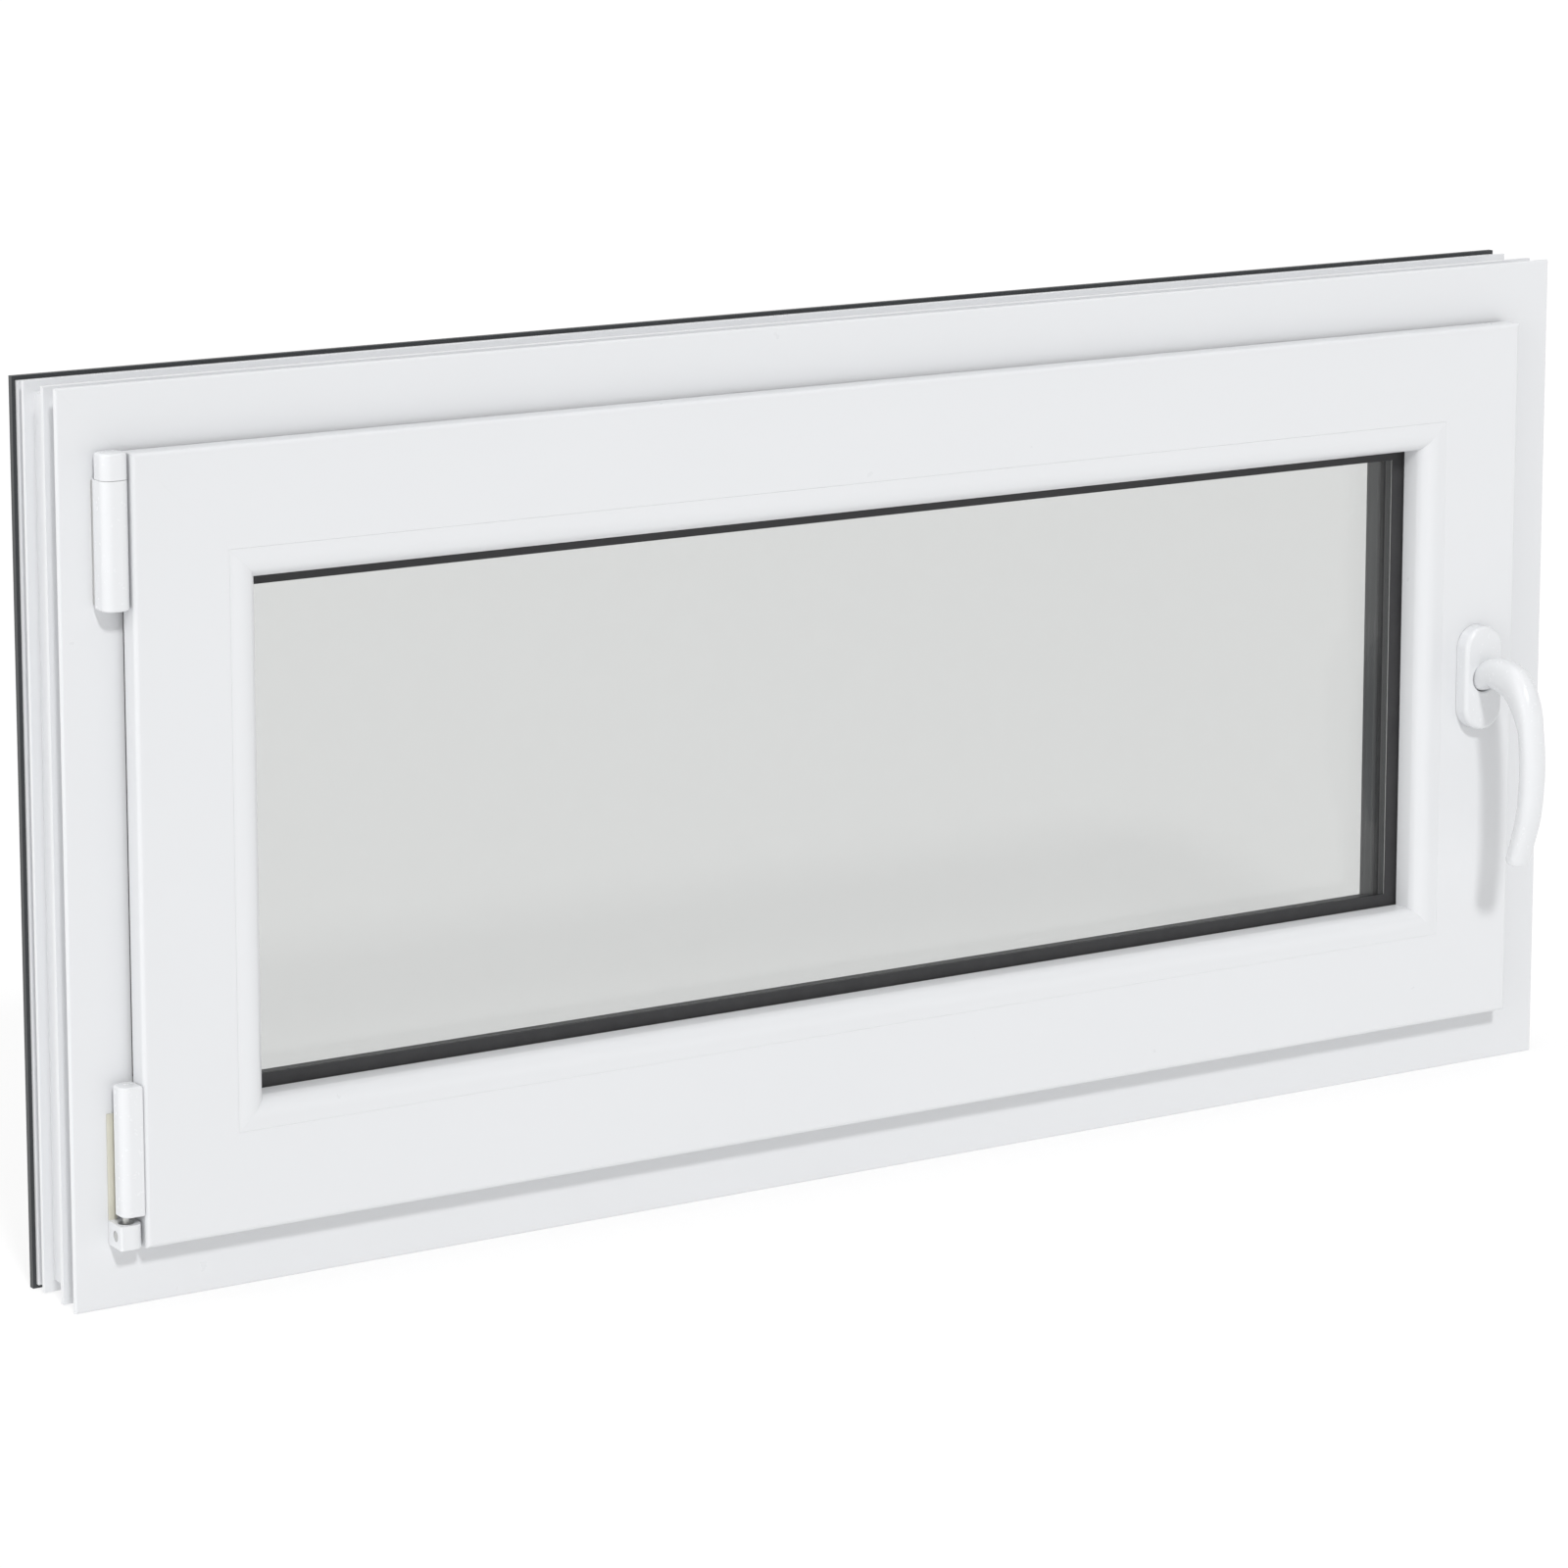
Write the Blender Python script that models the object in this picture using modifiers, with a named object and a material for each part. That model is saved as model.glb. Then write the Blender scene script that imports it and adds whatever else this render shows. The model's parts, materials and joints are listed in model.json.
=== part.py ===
"""Tilt-and-turn casement window, 1200 x 600 mm, white inside and anthracite outside.

World axes: +X towards the lock side, +Y towards the outside, +Z up. The origin is the
middle of the flat land under the sill that sits on the wall.

Sections are drawn in (d, t): d runs inwards from the outer edge of the frame, and t runs
from the frame's room face (0) towards the outside. Everything is in metres.
"""

import math

import bmesh
import bpy
from mathutils import Matrix, Vector

MM = 0.001

# Driving dimensions of the frame
FRAME_WIDTH = 1200 * MM
FRAME_HEIGHT = 600 * MM
FRAME_DEPTH = 70 * MM
FRAME_FACE = 50 * MM  # height of the frame's room wall, up to the rebate
STOP_HEIGHT = 72.4 * MM  # height of the outer stop that the sash closes against
STOP_FACE = 53 * MM  # depth of the stop's inner face
RIB_INSET = 1 * MM  # the ribs on the outer side end this far inside the frame's outline
FRONT_RIB = (20 * MM, 24 * MM)
REAR_RIB = (49.4 * MM, 52.5 * MM)
CHANNEL_DEPTH = 8.7 * MM  # open channels between the ribs
CHANNEL_END = 61.5 * MM  # depth at which the last channel ends
FLANGE = 3 * MM  # thickness of the room-side flange at the full outline
FRAME_SHELL_BAND = 5.5 * MM  # depth of the dark shell round the frame's outer side
SASH_SHELL_BAND = 14 * MM
SHELL = 2.4 * MM  # wall of the dark shells
WALL = 2.8 * MM  # walls of the plastic sections
STEEL_WALL = 1.8 * MM
STEEL_PLAY = 1 * MM  # between a steel core and its chamber

# Driving dimensions of the sash
SASH_OVERLAP = 8 * MM  # the sash lip over the frame
HARDWARE_GAP = 12 * MM  # air between frame rebate and sash
SEAL_GAP = 4 * MM  # lip to frame face
LIP = 16 * MM  # thickness of the sash lip
SASH_DEPTH = 70 * MM
SASH_FACE = 67 * MM  # flat face, from the lip's edge to the glazing bead
EDGE_ROUND = 3 * MM
FACEPLATE_WIDTH = 16 * MM
FACEPLATE_THICK = 2.3 * MM
GROOVE_LEDGE = 3.2 * MM  # ledge that the faceplate lies on
ROD_GROOVE_WIDTH = 12 * MM
ROD_GROOVE_DEPTH = 11 * MM
FACEPLATE_AXIS = 13 * MM  # from the back of the lip to the middle of the faceplate

# Driving dimensions of the glazing
BEAD_WIDTH = 20.5 * MM
BEAD_DEPTH = 22 * MM
BEAD_STEP = 1.1 * MM  # joint step between sash face and bead
BEAD_CREST = 0.6 * MM  # the crest of the bead stands this far in front of the sash face
BEAD_FALL = 10.5 * MM  # how far the bead's face has curved back at its inner edge
GASKET = 4 * MM
GASKET_LIP = 8.5 * MM  # the inner gasket's lip reaches this far past the sight line
GASKET_LIP_THICK = 0.9 * MM
PANE = 4 * MM
CAVITY = 16 * MM
PACKER = 5 * MM
SPACER_INSET = 1.5 * MM  # spacer edge behind the sight line
SPACER_HEIGHT = 7 * MM

# Driving dimensions of the hardware
HINGE_INSET = 32 * MM  # hinge axis from the frame's edge
HINGE_PROUD = 10.5 * MM  # hinge axis in front of the frame face
TILT_HEIGHT = 50 * MM  # tilt axis above the frame's lower edge
PIN_RADIUS = 3 * MM
STAY_REACH = 300 * MM  # hinge axis to the stay's guide pin
STAY_THICK = 4 * MM
BACKSET = 16 * MM  # handle axis from the sash's edge
LOCK_CAM_SHARE = 0.5 + 0.155 / 0.6  # height of the upper locking cam as a share of the frame
LOWER_CAM_SHARE = 0.25
GEAR_RADIUS = 11.46 * MM  # 18 mm of rod travel for each quarter turn
SPINDLE = 7 * MM
SCREW_SPACING = 43 * MM
ROD_THICK = 1.3 * MM
CAM_RADIUS = 4.2 * MM
CAM_STEM = 2.8 * MM
GRIP_PROUD = 68 * MM  # middle of the bowed grip, from the sash face
GRIP_DROP = 131 * MM  # tip of the grip below the handle axis
GRIP_HALF_WIDTH = 10 * MM
GRIP_HALF_THICK = 7.6 * MM

# Clearances
FIT = 0.3 * MM  # between fixed pieces that touch
RUNNING = 0.08 * MM  # pins in their bores
SLIDE = 0.5 * MM  # sliding rods and cams
MITRE = 0.15 * MM  # half of the joint between two mitred lengths

# Places that follow from the sizes above
LIP_EDGE = FRAME_FACE - SASH_OVERLAP
SASH_SIDE = FRAME_FACE + HARDWARE_GAP
SASH_FRONT = -SEAL_GAP - LIP
SASH_BACK = SASH_FRONT + SASH_DEPTH
GLASS_SEAT = LIP_EDGE + SASH_FACE
SIGHT_LINE = GLASS_SEAT + BEAD_WIDTH
GLASS_EDGE = GLASS_SEAT + PACKER
BEAD_BACK = SASH_FRONT + BEAD_DEPTH
INNER_PANE = BEAD_BACK + GASKET
OUTER_PANE = INNER_PANE + PANE + CAVITY
UPSTAND = OUTER_PANE + PANE + GASKET
PLATE_AXIS = -SEAL_GAP + FACEPLATE_AXIS
ROD_TOP = SASH_SIDE + FACEPLATE_THICK + FIT
HANDLE_INSET = SASH_SIDE + BACKSET
ROD_TRAVEL = math.pi * GEAR_RADIUS
SEAT_DEPTH = sum(FRONT_RIB) / 2  # the origin lies on the end of the sill's front rib
CENTRE = Vector((0, 0, FRAME_HEIGHT / 2 - RIB_INSET))

# Which way a section is turned about +Y for each side of the frame, in degrees
SIDES = {"hinge": 0, "head": 90, "lock": 180, "sill": -90}

# Finishes: colour, roughness, metallic
WHITE_PLASTIC = ((0.86, 0.87, 0.88), 0.30, 0.0)
ANTHRACITE = ((0.055, 0.060, 0.064), 0.45, 0.0)
BLACK_RUBBER = ((0.022, 0.022, 0.024), 0.75, 0.0)
WHITE_LACQUER = ((0.88, 0.89, 0.90), 0.22, 0.0)
ZINC_STEEL = ((0.62, 0.63, 0.62), 0.35, 1.0)
GALVANISED = ((0.52, 0.54, 0.56), 0.50, 1.0)
CLEAR_GLASS = ((0.80, 0.86, 0.84), 0.04, 0.0)
SPACER_GREY = ((0.10, 0.10, 0.105), 0.55, 0.0)
PACKER_GREEN = ((0.10, 0.30, 0.16), 0.60, 0.0)


def clear_scene():
    for obj in list(bpy.data.objects):
        bpy.data.objects.remove(obj)


def new_collection(name, helper=False):
    collection = bpy.data.collections.new(name)
    bpy.context.scene.collection.children.link(collection)
    collection.hide_render = helper
    return collection


clear_scene()
PARTS = new_collection("tilt_and_turn_window")
CUTTERS = new_collection("cutters", helper=True)


def paint(obj, look):
    """Gives the object a material of its own."""
    colour, roughness, metallic = look
    material = bpy.data.materials.new(obj.name)
    material.use_nodes = True
    shader = material.node_tree.nodes["Principled BSDF"]
    shader.inputs["Base Color"].default_value = (*colour, 1)
    shader.inputs["Roughness"].default_value = roughness
    shader.inputs["Metallic"].default_value = metallic
    obj.data.materials.clear()
    obj.data.materials.append(material)


def add(name, mesh, look, matrix=None):
    obj = bpy.data.objects.new(name, mesh)
    PARTS.objects.link(obj)
    if matrix is not None:
        obj.matrix_world = matrix
    paint(obj, look)
    return obj


def at(across, depth, up):
    """World place of a point given from the frame's lower hinge-side corner of its room face."""
    return Vector((across - FRAME_WIDTH / 2, depth - SEAT_DEPTH, up - RIB_INSET))


# Outlines


def fillet(corner, before, after, radius, steps):
    """Points of the round that replaces a corner."""
    to_before = (before - corner).normalized()
    to_after = (after - corner).normalized()
    half = to_before.angle(to_after) / 2
    middle = corner + (to_before + to_after).normalized() * (radius / math.sin(half))
    start = corner + to_before * (radius / math.tan(half)) - middle
    finish = corner + to_after * (radius / math.tan(half)) - middle
    sweep = start.angle_signed(finish)
    turned = []
    for step in range(steps + 1):
        turn = Matrix.Rotation(-sweep * step / steps, 2)
        turned.append(tuple(middle + turn @ start))
    return turned


def outline(*corners, steps=4):
    """A closed outline from (d, t) or (d, t, radius) corners."""
    points = [Vector(corner[:2]) for corner in corners]
    result = []
    for index, corner in enumerate(corners):
        if len(corner) < 3:
            result.append(tuple(points[index]))
            continue
        after = points[(index + 1) % len(points)]
        result += fillet(points[index], points[index - 1], after, corner[2], steps)
    return result


def box_outline(low_d, high_d, low_t, high_t):
    return [(low_d, low_t), (high_d, low_t), (high_d, high_t), (low_d, high_t)]


def stadium(width, height, steps=10):
    """A slot-shaped outline, centred, with its long way along the second axis."""
    radius = width / 2
    reach = height / 2 - radius
    points = []
    for sign in (1, -1):
        for step in range(steps + 1):
            angle = math.pi * step / steps
            points.append((sign * radius * math.cos(angle), sign * (reach + radius * math.sin(angle))))
    return points


def circle(radius, steps=24, centre=(0, 0)):
    turn = 2 * math.pi / steps
    return [
        (centre[0] + radius * math.cos(turn * step), centre[1] + radius * math.sin(turn * step))
        for step in range(steps)
    ]


def smooth_path(points, per_span):
    """Points along a Catmull-Rom line through the given ones."""
    padded = [points[0] * 2 - points[1]] + points + [points[-1] * 2 - points[-2]]
    result = []
    for index in range(1, len(padded) - 2):
        before, start, finish, after = padded[index - 1 : index + 3]
        for step in range(per_span):
            share = step / per_span
            result.append(
                0.5
                * (
                    2 * start
                    + (finish - before) * share
                    + (2 * before - 5 * start + 4 * finish - after) * share**2
                    + (3 * start - before - 3 * finish + after) * share**3
                )
            )
    return result + [points[-1]]


# Solids


def extruded(outlines, length, fill="BOTH"):
    """The mesh of a 2D curve extruded by length about its own plane, with its caps welded."""
    curve = bpy.data.curves.new("outline", "CURVE")
    curve.dimensions = "2D"
    curve.fill_mode = fill
    curve.extrude = length / 2
    for points in outlines:
        line = curve.splines.new("POLY")
        line.points.add(len(points) - 1)
        for point, place in zip(line.points, points):
            point.co = (place[0], place[1], 0, 1)
        line.use_cyclic_u = True
    obj = bpy.data.objects.new("outline", curve)
    bpy.context.scene.collection.objects.link(obj)
    graph = bpy.context.evaluated_depsgraph_get()
    mesh = bpy.data.meshes.new_from_object(obj.evaluated_get(graph))
    bpy.data.objects.remove(obj)
    bpy.data.curves.remove(curve)
    weld(mesh)
    return mesh


def weld(mesh):
    shape = bmesh.new()
    shape.from_mesh(mesh)
    bmesh.ops.remove_doubles(shape, verts=shape.verts, dist=0.001 * MM)
    bmesh.ops.recalc_face_normals(shape, faces=shape.faces)
    shape.to_mesh(mesh)
    shape.free()


def prism(name, outlines, low, high, look, plane="XY"):
    """An outline given in world axes, extruded from low to high along the axis left over."""
    mesh = extruded(outlines, high - low)
    turns = {
        "XY": Matrix.Identity(4),
        "XZ": Matrix.Rotation(math.radians(90), 4, "X"),
        "YZ": Matrix(((0, 0, 1, 0), (1, 0, 0, 0), (0, 1, 0, 0), (0, 0, 0, 1))),
    }
    axis = {"XY": 2, "XZ": 1, "YZ": 0}[plane]
    matrix = turns[plane].copy()
    matrix[axis][3] = (low + high) / 2
    return add(name, mesh, look, matrix)


def block(name, low, high, look, bevel=0.0):
    """A box between two corners given as world places."""
    shape = bmesh.new()
    bmesh.ops.create_cube(shape, size=1)
    size = high - low
    bmesh.ops.scale(shape, vec=size, verts=shape.verts)
    mesh = bpy.data.meshes.new(name)
    shape.to_mesh(mesh)
    shape.free()
    obj = add(name, mesh, look, Matrix.Translation((low + high) / 2))
    if bevel:
        round_edges(obj, bevel)
    return obj


def round_edges(obj, width, segments=2, angle=50):
    modifier = obj.modifiers.new("round", "BEVEL")
    modifier.width = width
    modifier.segments = segments
    modifier.limit_method = "ANGLE"
    modifier.angle_limit = math.radians(angle)
    return modifier


def cylinder(name, radius, low, high, look, steps=24):
    """A round bar between two world places."""
    shape = bmesh.new()
    length = (high - low).length
    bmesh.ops.create_cone(
        shape, cap_ends=True, segments=steps, radius1=radius, radius2=radius, depth=length
    )
    mesh = bpy.data.meshes.new(name)
    shape.to_mesh(mesh)
    shape.free()
    turn = (high - low).to_track_quat("Z", "Y").to_matrix().to_4x4()
    obj = add(name, mesh, look, Matrix.Translation((low + high) / 2) @ turn)
    mesh.shade_smooth()
    mesh.set_sharp_from_angle(angle=math.radians(40))
    return obj


def turned(name, profile, place, look, steps=24):
    """A turned piece on a vertical axis. The profile is (radius, height), down its outer side."""
    mesh = bpy.data.meshes.new(name)
    points = [(radius, 0, height) for radius, height in profile]
    edges = [(index, index + 1) for index in range(len(points) - 1)]
    mesh.from_pydata(points, edges, [])
    obj = add(name, mesh, look, Matrix.Translation(place))
    screw = obj.modifiers.new("turn", "SCREW")
    screw.steps = steps
    screw.render_steps = steps
    screw.use_merge_vertices = True
    screw.merge_threshold = 0.005 * MM
    return obj


def as_helper(obj):
    PARTS.objects.unlink(obj)
    CUTTERS.objects.link(obj)
    obj.hide_render = True
    obj.display_type = "WIRE"
    return obj


def boolean(obj, helper, operation):
    """Cuts or joins obj with helper, which becomes a hidden construction piece."""
    modifier = obj.modifiers.new(helper.name, "BOOLEAN")
    modifier.operation = operation
    modifier.solver = "EXACT"
    modifier.object = as_helper(helper)
    return obj


def cut(obj, *helpers):
    for helper in helpers:
        boolean(obj, helper, "DIFFERENCE")
    return obj


def join(obj, *helpers):
    for helper in helpers:
        boolean(obj, helper, "UNION")
    return obj


# Mitred lengths and rings that run round the window


def side_matrix(side):
    """Section axes of one side of the frame: X inwards, Y outwards through the wall, Z along."""
    upright = side in ("hinge", "lock")
    reach = FRAME_WIDTH / 2 if upright else FRAME_HEIGHT / 2
    turn = Matrix.Rotation(math.radians(SIDES[side]), 4, "Y")
    return (
        Matrix.Translation(CENTRE + Vector((0, -SEAT_DEPTH, 0)))
        @ turn
        @ Matrix.Translation((-reach, 0, 0))
    )


def side_length(side):
    return FRAME_HEIGHT if side in ("hinge", "lock") else FRAME_WIDTH


def mitred_mesh(outlines, side, gap, fill="BOTH"):
    """A section extruded along one side, with each end cut back at 45 degrees and by a gap."""
    length = side_length(side)
    mesh = extruded(outlines, length, fill)
    for vertex in mesh.vertices:
        reach = length / 2 - vertex.co.x - gap
        vertex.co.z = math.copysign(reach, vertex.co.z)
    return mesh


def mitred(name, outlines, side, look, gap=MITRE):
    return add(name, mitred_mesh(outlines, side, gap), look, side_matrix(side))


def ring(name, section, look):
    """One continuous ring: the same section along all four sides, welded at the mitres."""
    shape = bmesh.new()
    for side in SIDES:
        mesh = mitred_mesh([section], side, 0, "NONE")
        mesh.transform(side_matrix(side))
        shape.from_mesh(mesh)
        bpy.data.meshes.remove(mesh)
    bmesh.ops.remove_doubles(shape, verts=shape.verts, dist=0.01 * MM)
    bmesh.ops.recalc_face_normals(shape, faces=shape.faces)
    mesh = bpy.data.meshes.new(name)
    shape.to_mesh(mesh)
    shape.free()
    return add(name, mesh, look)


# The frame

FRAME_CHAMBER = (
    CHANNEL_DEPTH + WALL,
    FRAME_FACE - WALL,
    FRONT_RIB[0] - 0.5 * MM,
    REAR_RIB[0] + 0.6 * MM,
)
SHELL_START = FRAME_DEPTH - FRAME_SHELL_BAND


def frame_outlines():
    """Outline and chambers of the frame section."""
    skin = SHELL + FIT
    back = FRAME_DEPTH - skin
    floor = CHANNEL_DEPTH
    outer = outline(
        (0, FLANGE),
        (0, 0, 1.5 * MM),
        (FRAME_FACE, 0, EDGE_ROUND),
        (FRAME_FACE, STOP_FACE),
        (STOP_HEIGHT - skin, STOP_FACE),
        (STOP_HEIGHT - skin, back),
        (skin, back),
        (skin, CHANNEL_END),
        (floor, CHANNEL_END),
        (floor, REAR_RIB[1]),
        (RIB_INSET, REAR_RIB[1]),
        (RIB_INSET, REAR_RIB[0]),
        (floor, REAR_RIB[0]),
        (floor, FRONT_RIB[1]),
        (RIB_INSET, FRONT_RIB[1]),
        (RIB_INSET, FRONT_RIB[0]),
        (floor, FRONT_RIB[0]),
        (floor, FLANGE),
    )
    low_d, high_d, low_t, high_t = FRAME_CHAMBER
    front = box_outline(low_d, high_d, FLANGE, low_t - WALL)
    steel = box_outline(low_d, high_d, low_t, high_t)
    stop = box_outline(low_d, STOP_HEIGHT - skin - WALL, STOP_FACE + WALL, back - WALL)
    return [outer, front, steel, stop]


def steel_outlines(chamber):
    """A steel tube with play on all sides of its chamber."""
    low_d, high_d, low_t, high_t = chamber
    play = STEEL_PLAY
    tube = (low_d + play, high_d - play, low_t + play, high_t - play)
    wall = STEEL_WALL
    bore = (tube[0] + wall, tube[1] - wall, tube[2] + wall, tube[3] - wall)
    return [box_outline(*tube), box_outline(*bore)]


def make_frame():
    names = {
        "hinge": "frame_hinge_jamb",
        "head": "frame_head",
        "lock": "frame_lock_jamb",
        "sill": "frame_sill",
    }
    steel = steel_outlines(FRAME_CHAMBER)
    for side, name in names.items():
        mitred(name, frame_outlines(), side, WHITE_PLASTIC)
        mitred(f"frame_steel_{side}", steel, side, GALVANISED, gap=3 * MM)
    ring(
        "frame_outer_shell",
        outline(
            (0, SHELL_START),
            (SHELL, SHELL_START),
            (SHELL, FRAME_DEPTH - SHELL),
            (STOP_HEIGHT - SHELL, FRAME_DEPTH - SHELL),
            (STOP_HEIGHT - SHELL, STOP_FACE),
            (STOP_HEIGHT, STOP_FACE),
            (STOP_HEIGHT, FRAME_DEPTH, 1 * MM),
            (0, FRAME_DEPTH, 1 * MM),
            steps=3,
        ),
        ANTHRACITE,
    )
    ring(
        "frame_outer_seal",
        box_outline(SASH_SIDE + 1.2 * MM, SASH_SIDE + 4.4 * MM, SASH_BACK + FIT, STOP_FACE - FIT),
        BLACK_RUBBER,
    )


# The sash

PLATE_LOW = PLATE_AXIS - FACEPLATE_WIDTH / 2
PLATE_HIGH = PLATE_AXIS + FACEPLATE_WIDTH / 2
ROD_LOW = PLATE_AXIS - ROD_GROOVE_WIDTH / 2
ROD_HIGH = PLATE_AXIS + ROD_GROOVE_WIDTH / 2
GROOVE_FLOOR = SASH_SIDE + ROD_GROOVE_DEPTH
SASH_STEEL_CHAMBER = (GROOVE_FLOOR + 4 * MM, GLASS_SEAT - WALL, SASH_FRONT + 15 * MM, UPSTAND - WALL)


def sash_outlines():
    """Outline and chambers of the sash section."""
    core_back = SASH_BACK - SHELL - FIT
    core_side = SASH_SIDE + SHELL + FIT
    upstand_edge = SIGHT_LINE - 1 * MM - SHELL - FIT
    return_start = SASH_BACK - SASH_SHELL_BAND - FIT
    outer = outline(
        (LIP_EDGE, -SEAL_GAP),
        (LIP_EDGE, SASH_FRONT, EDGE_ROUND),
        (GLASS_SEAT, SASH_FRONT, 0.8 * MM),
        (GLASS_SEAT, UPSTAND),
        (upstand_edge, UPSTAND),
        (upstand_edge, core_back),
        (core_side, core_back),
        (core_side, return_start),
        (SASH_SIDE, return_start),
        (SASH_SIDE, PLATE_HIGH),
        (SASH_SIDE + GROOVE_LEDGE, PLATE_HIGH),
        (SASH_SIDE + GROOVE_LEDGE, ROD_HIGH),
        (GROOVE_FLOOR, ROD_HIGH),
        (GROOVE_FLOOR, ROD_LOW),
        (SASH_SIDE + GROOVE_LEDGE, ROD_LOW),
        (SASH_SIDE + GROOVE_LEDGE, PLATE_LOW),
        (SASH_SIDE, PLATE_LOW),
        (SASH_SIDE, -SEAL_GAP),
    )
    low_d, high_d, low_t, high_t = SASH_STEEL_CHAMBER
    lip = box_outline(LIP_EDGE + WALL, SASH_SIDE - WALL, SASH_FRONT + WALL, -SEAL_GAP - WALL)
    front = box_outline(SASH_SIDE, high_d, SASH_FRONT + WALL, low_t - WALL)
    steel = box_outline(low_d, high_d, low_t, high_t)
    side = box_outline(SASH_SIDE + WALL, low_d - WALL, PLATE_HIGH + WALL, return_start - WALL)
    back = box_outline(core_side + WALL, upstand_edge - WALL, UPSTAND + WALL, core_back - WALL)
    return [outer, lip, front, steel, side, back]


def bead_outlines():
    """Glazing bead: a softly crowned face, a hollow body and a flat back against the gasket."""
    start = GLASS_SEAT + FIT
    width = SIGHT_LINE - start
    crest = SASH_FRONT - BEAD_CREST
    fall = BEAD_FALL + BEAD_CREST
    face = [
        Vector((start, SASH_FRONT + BEAD_STEP)),
        Vector((start + 0.18 * width, crest + 0.06 * fall)),
        Vector((start + 0.38 * width, crest)),
        Vector((start + 0.58 * width, crest + 0.03 * fall)),
        Vector((start + 0.75 * width, crest + 0.14 * fall)),
        Vector((start + 0.90 * width, crest + 0.40 * fall)),
        Vector((start + 0.98 * width, crest + 0.72 * fall)),
        Vector((SIGHT_LINE, crest + fall)),
    ]
    points = [tuple(point) for point in smooth_path(face, 2)]
    points += [(SIGHT_LINE, BEAD_BACK), (start, BEAD_BACK)]
    wall = 2 * MM
    chamber = box_outline(
        start + wall, SIGHT_LINE - wall, crest + fall + wall, BEAD_BACK - wall
    )
    return [points, chamber]


def make_sash():
    names = {
        "hinge": "sash_hinge_stile",
        "head": "sash_head_rail",
        "lock": "sash_lock_stile",
        "sill": "sash_bottom_rail",
    }
    steel = steel_outlines(SASH_STEEL_CHAMBER)
    made = {}
    for side, name in names.items():
        made[name] = mitred(name, sash_outlines(), side, WHITE_PLASTIC)
        steel_name = f"sash_steel_{side}"
        made[steel_name] = mitred(steel_name, steel, side, GALVANISED, gap=3 * MM)
        mitred(f"glazing_bead_{side}", bead_outlines(), side, WHITE_PLASTIC)
    edge = SIGHT_LINE - 1 * MM
    ring(
        "sash_outer_shell",
        outline(
            (SASH_SIDE, SASH_BACK - SASH_SHELL_BAND),
            (SASH_SIDE + SHELL, SASH_BACK - SASH_SHELL_BAND),
            (SASH_SIDE + SHELL, SASH_BACK - SHELL),
            (edge - SHELL, SASH_BACK - SHELL),
            (edge - SHELL, UPSTAND),
            (edge, UPSTAND),
            (edge, SASH_BACK, 5 * MM),
            (SASH_SIDE, SASH_BACK, 1 * MM),
            steps=3,
        ),
        ANTHRACITE,
    )
    return made


SEAL_LOW = LIP_EDGE + 1.2 * MM
SEAL_HIGH = FRAME_FACE - 0.5 * MM
TILT_ROOM = 1.3 * MM  # the seal's lower length swings back this far when the sash tilts


def make_sash_seal():
    """The seal behind the lip. It stops where the two hinge arms pass through the gap."""
    low_t = -SEAL_GAP + FIT
    high_t = -2 * FIT
    section = box_outline(SEAL_LOW, SEAL_HIGH, low_t, high_t - TILT_ROOM)
    seal = ring("sash_inner_seal", section, BLACK_RUBBER)
    gap = block(
        "sash_seal_gap",
        at(SEAL_LOW - 1 * MM, -SEAL_GAP, BAND_LOW - 2 * MM),
        at(SEAL_HIGH + 1 * MM, 0, FRAME_HEIGHT - FRAME_FACE + FIT),
        BLACK_RUBBER,
    )
    cut(seal, gap)
    block(
        "sash_seal_hinge_length",
        at(SEAL_LOW, low_t, BAND_HIGH + 2 * MM),
        at(SEAL_HIGH, high_t, STAY_LOW - 3 * MM),
        BLACK_RUBBER,
    )


def pane(name, depth):
    return block(
        name,
        at(GLASS_EDGE, depth + FIT / 2, GLASS_EDGE),
        at(FRAME_WIDTH - GLASS_EDGE, depth + PANE - FIT / 2, FRAME_HEIGHT - GLASS_EDGE),
        CLEAR_GLASS,
    )


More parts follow.
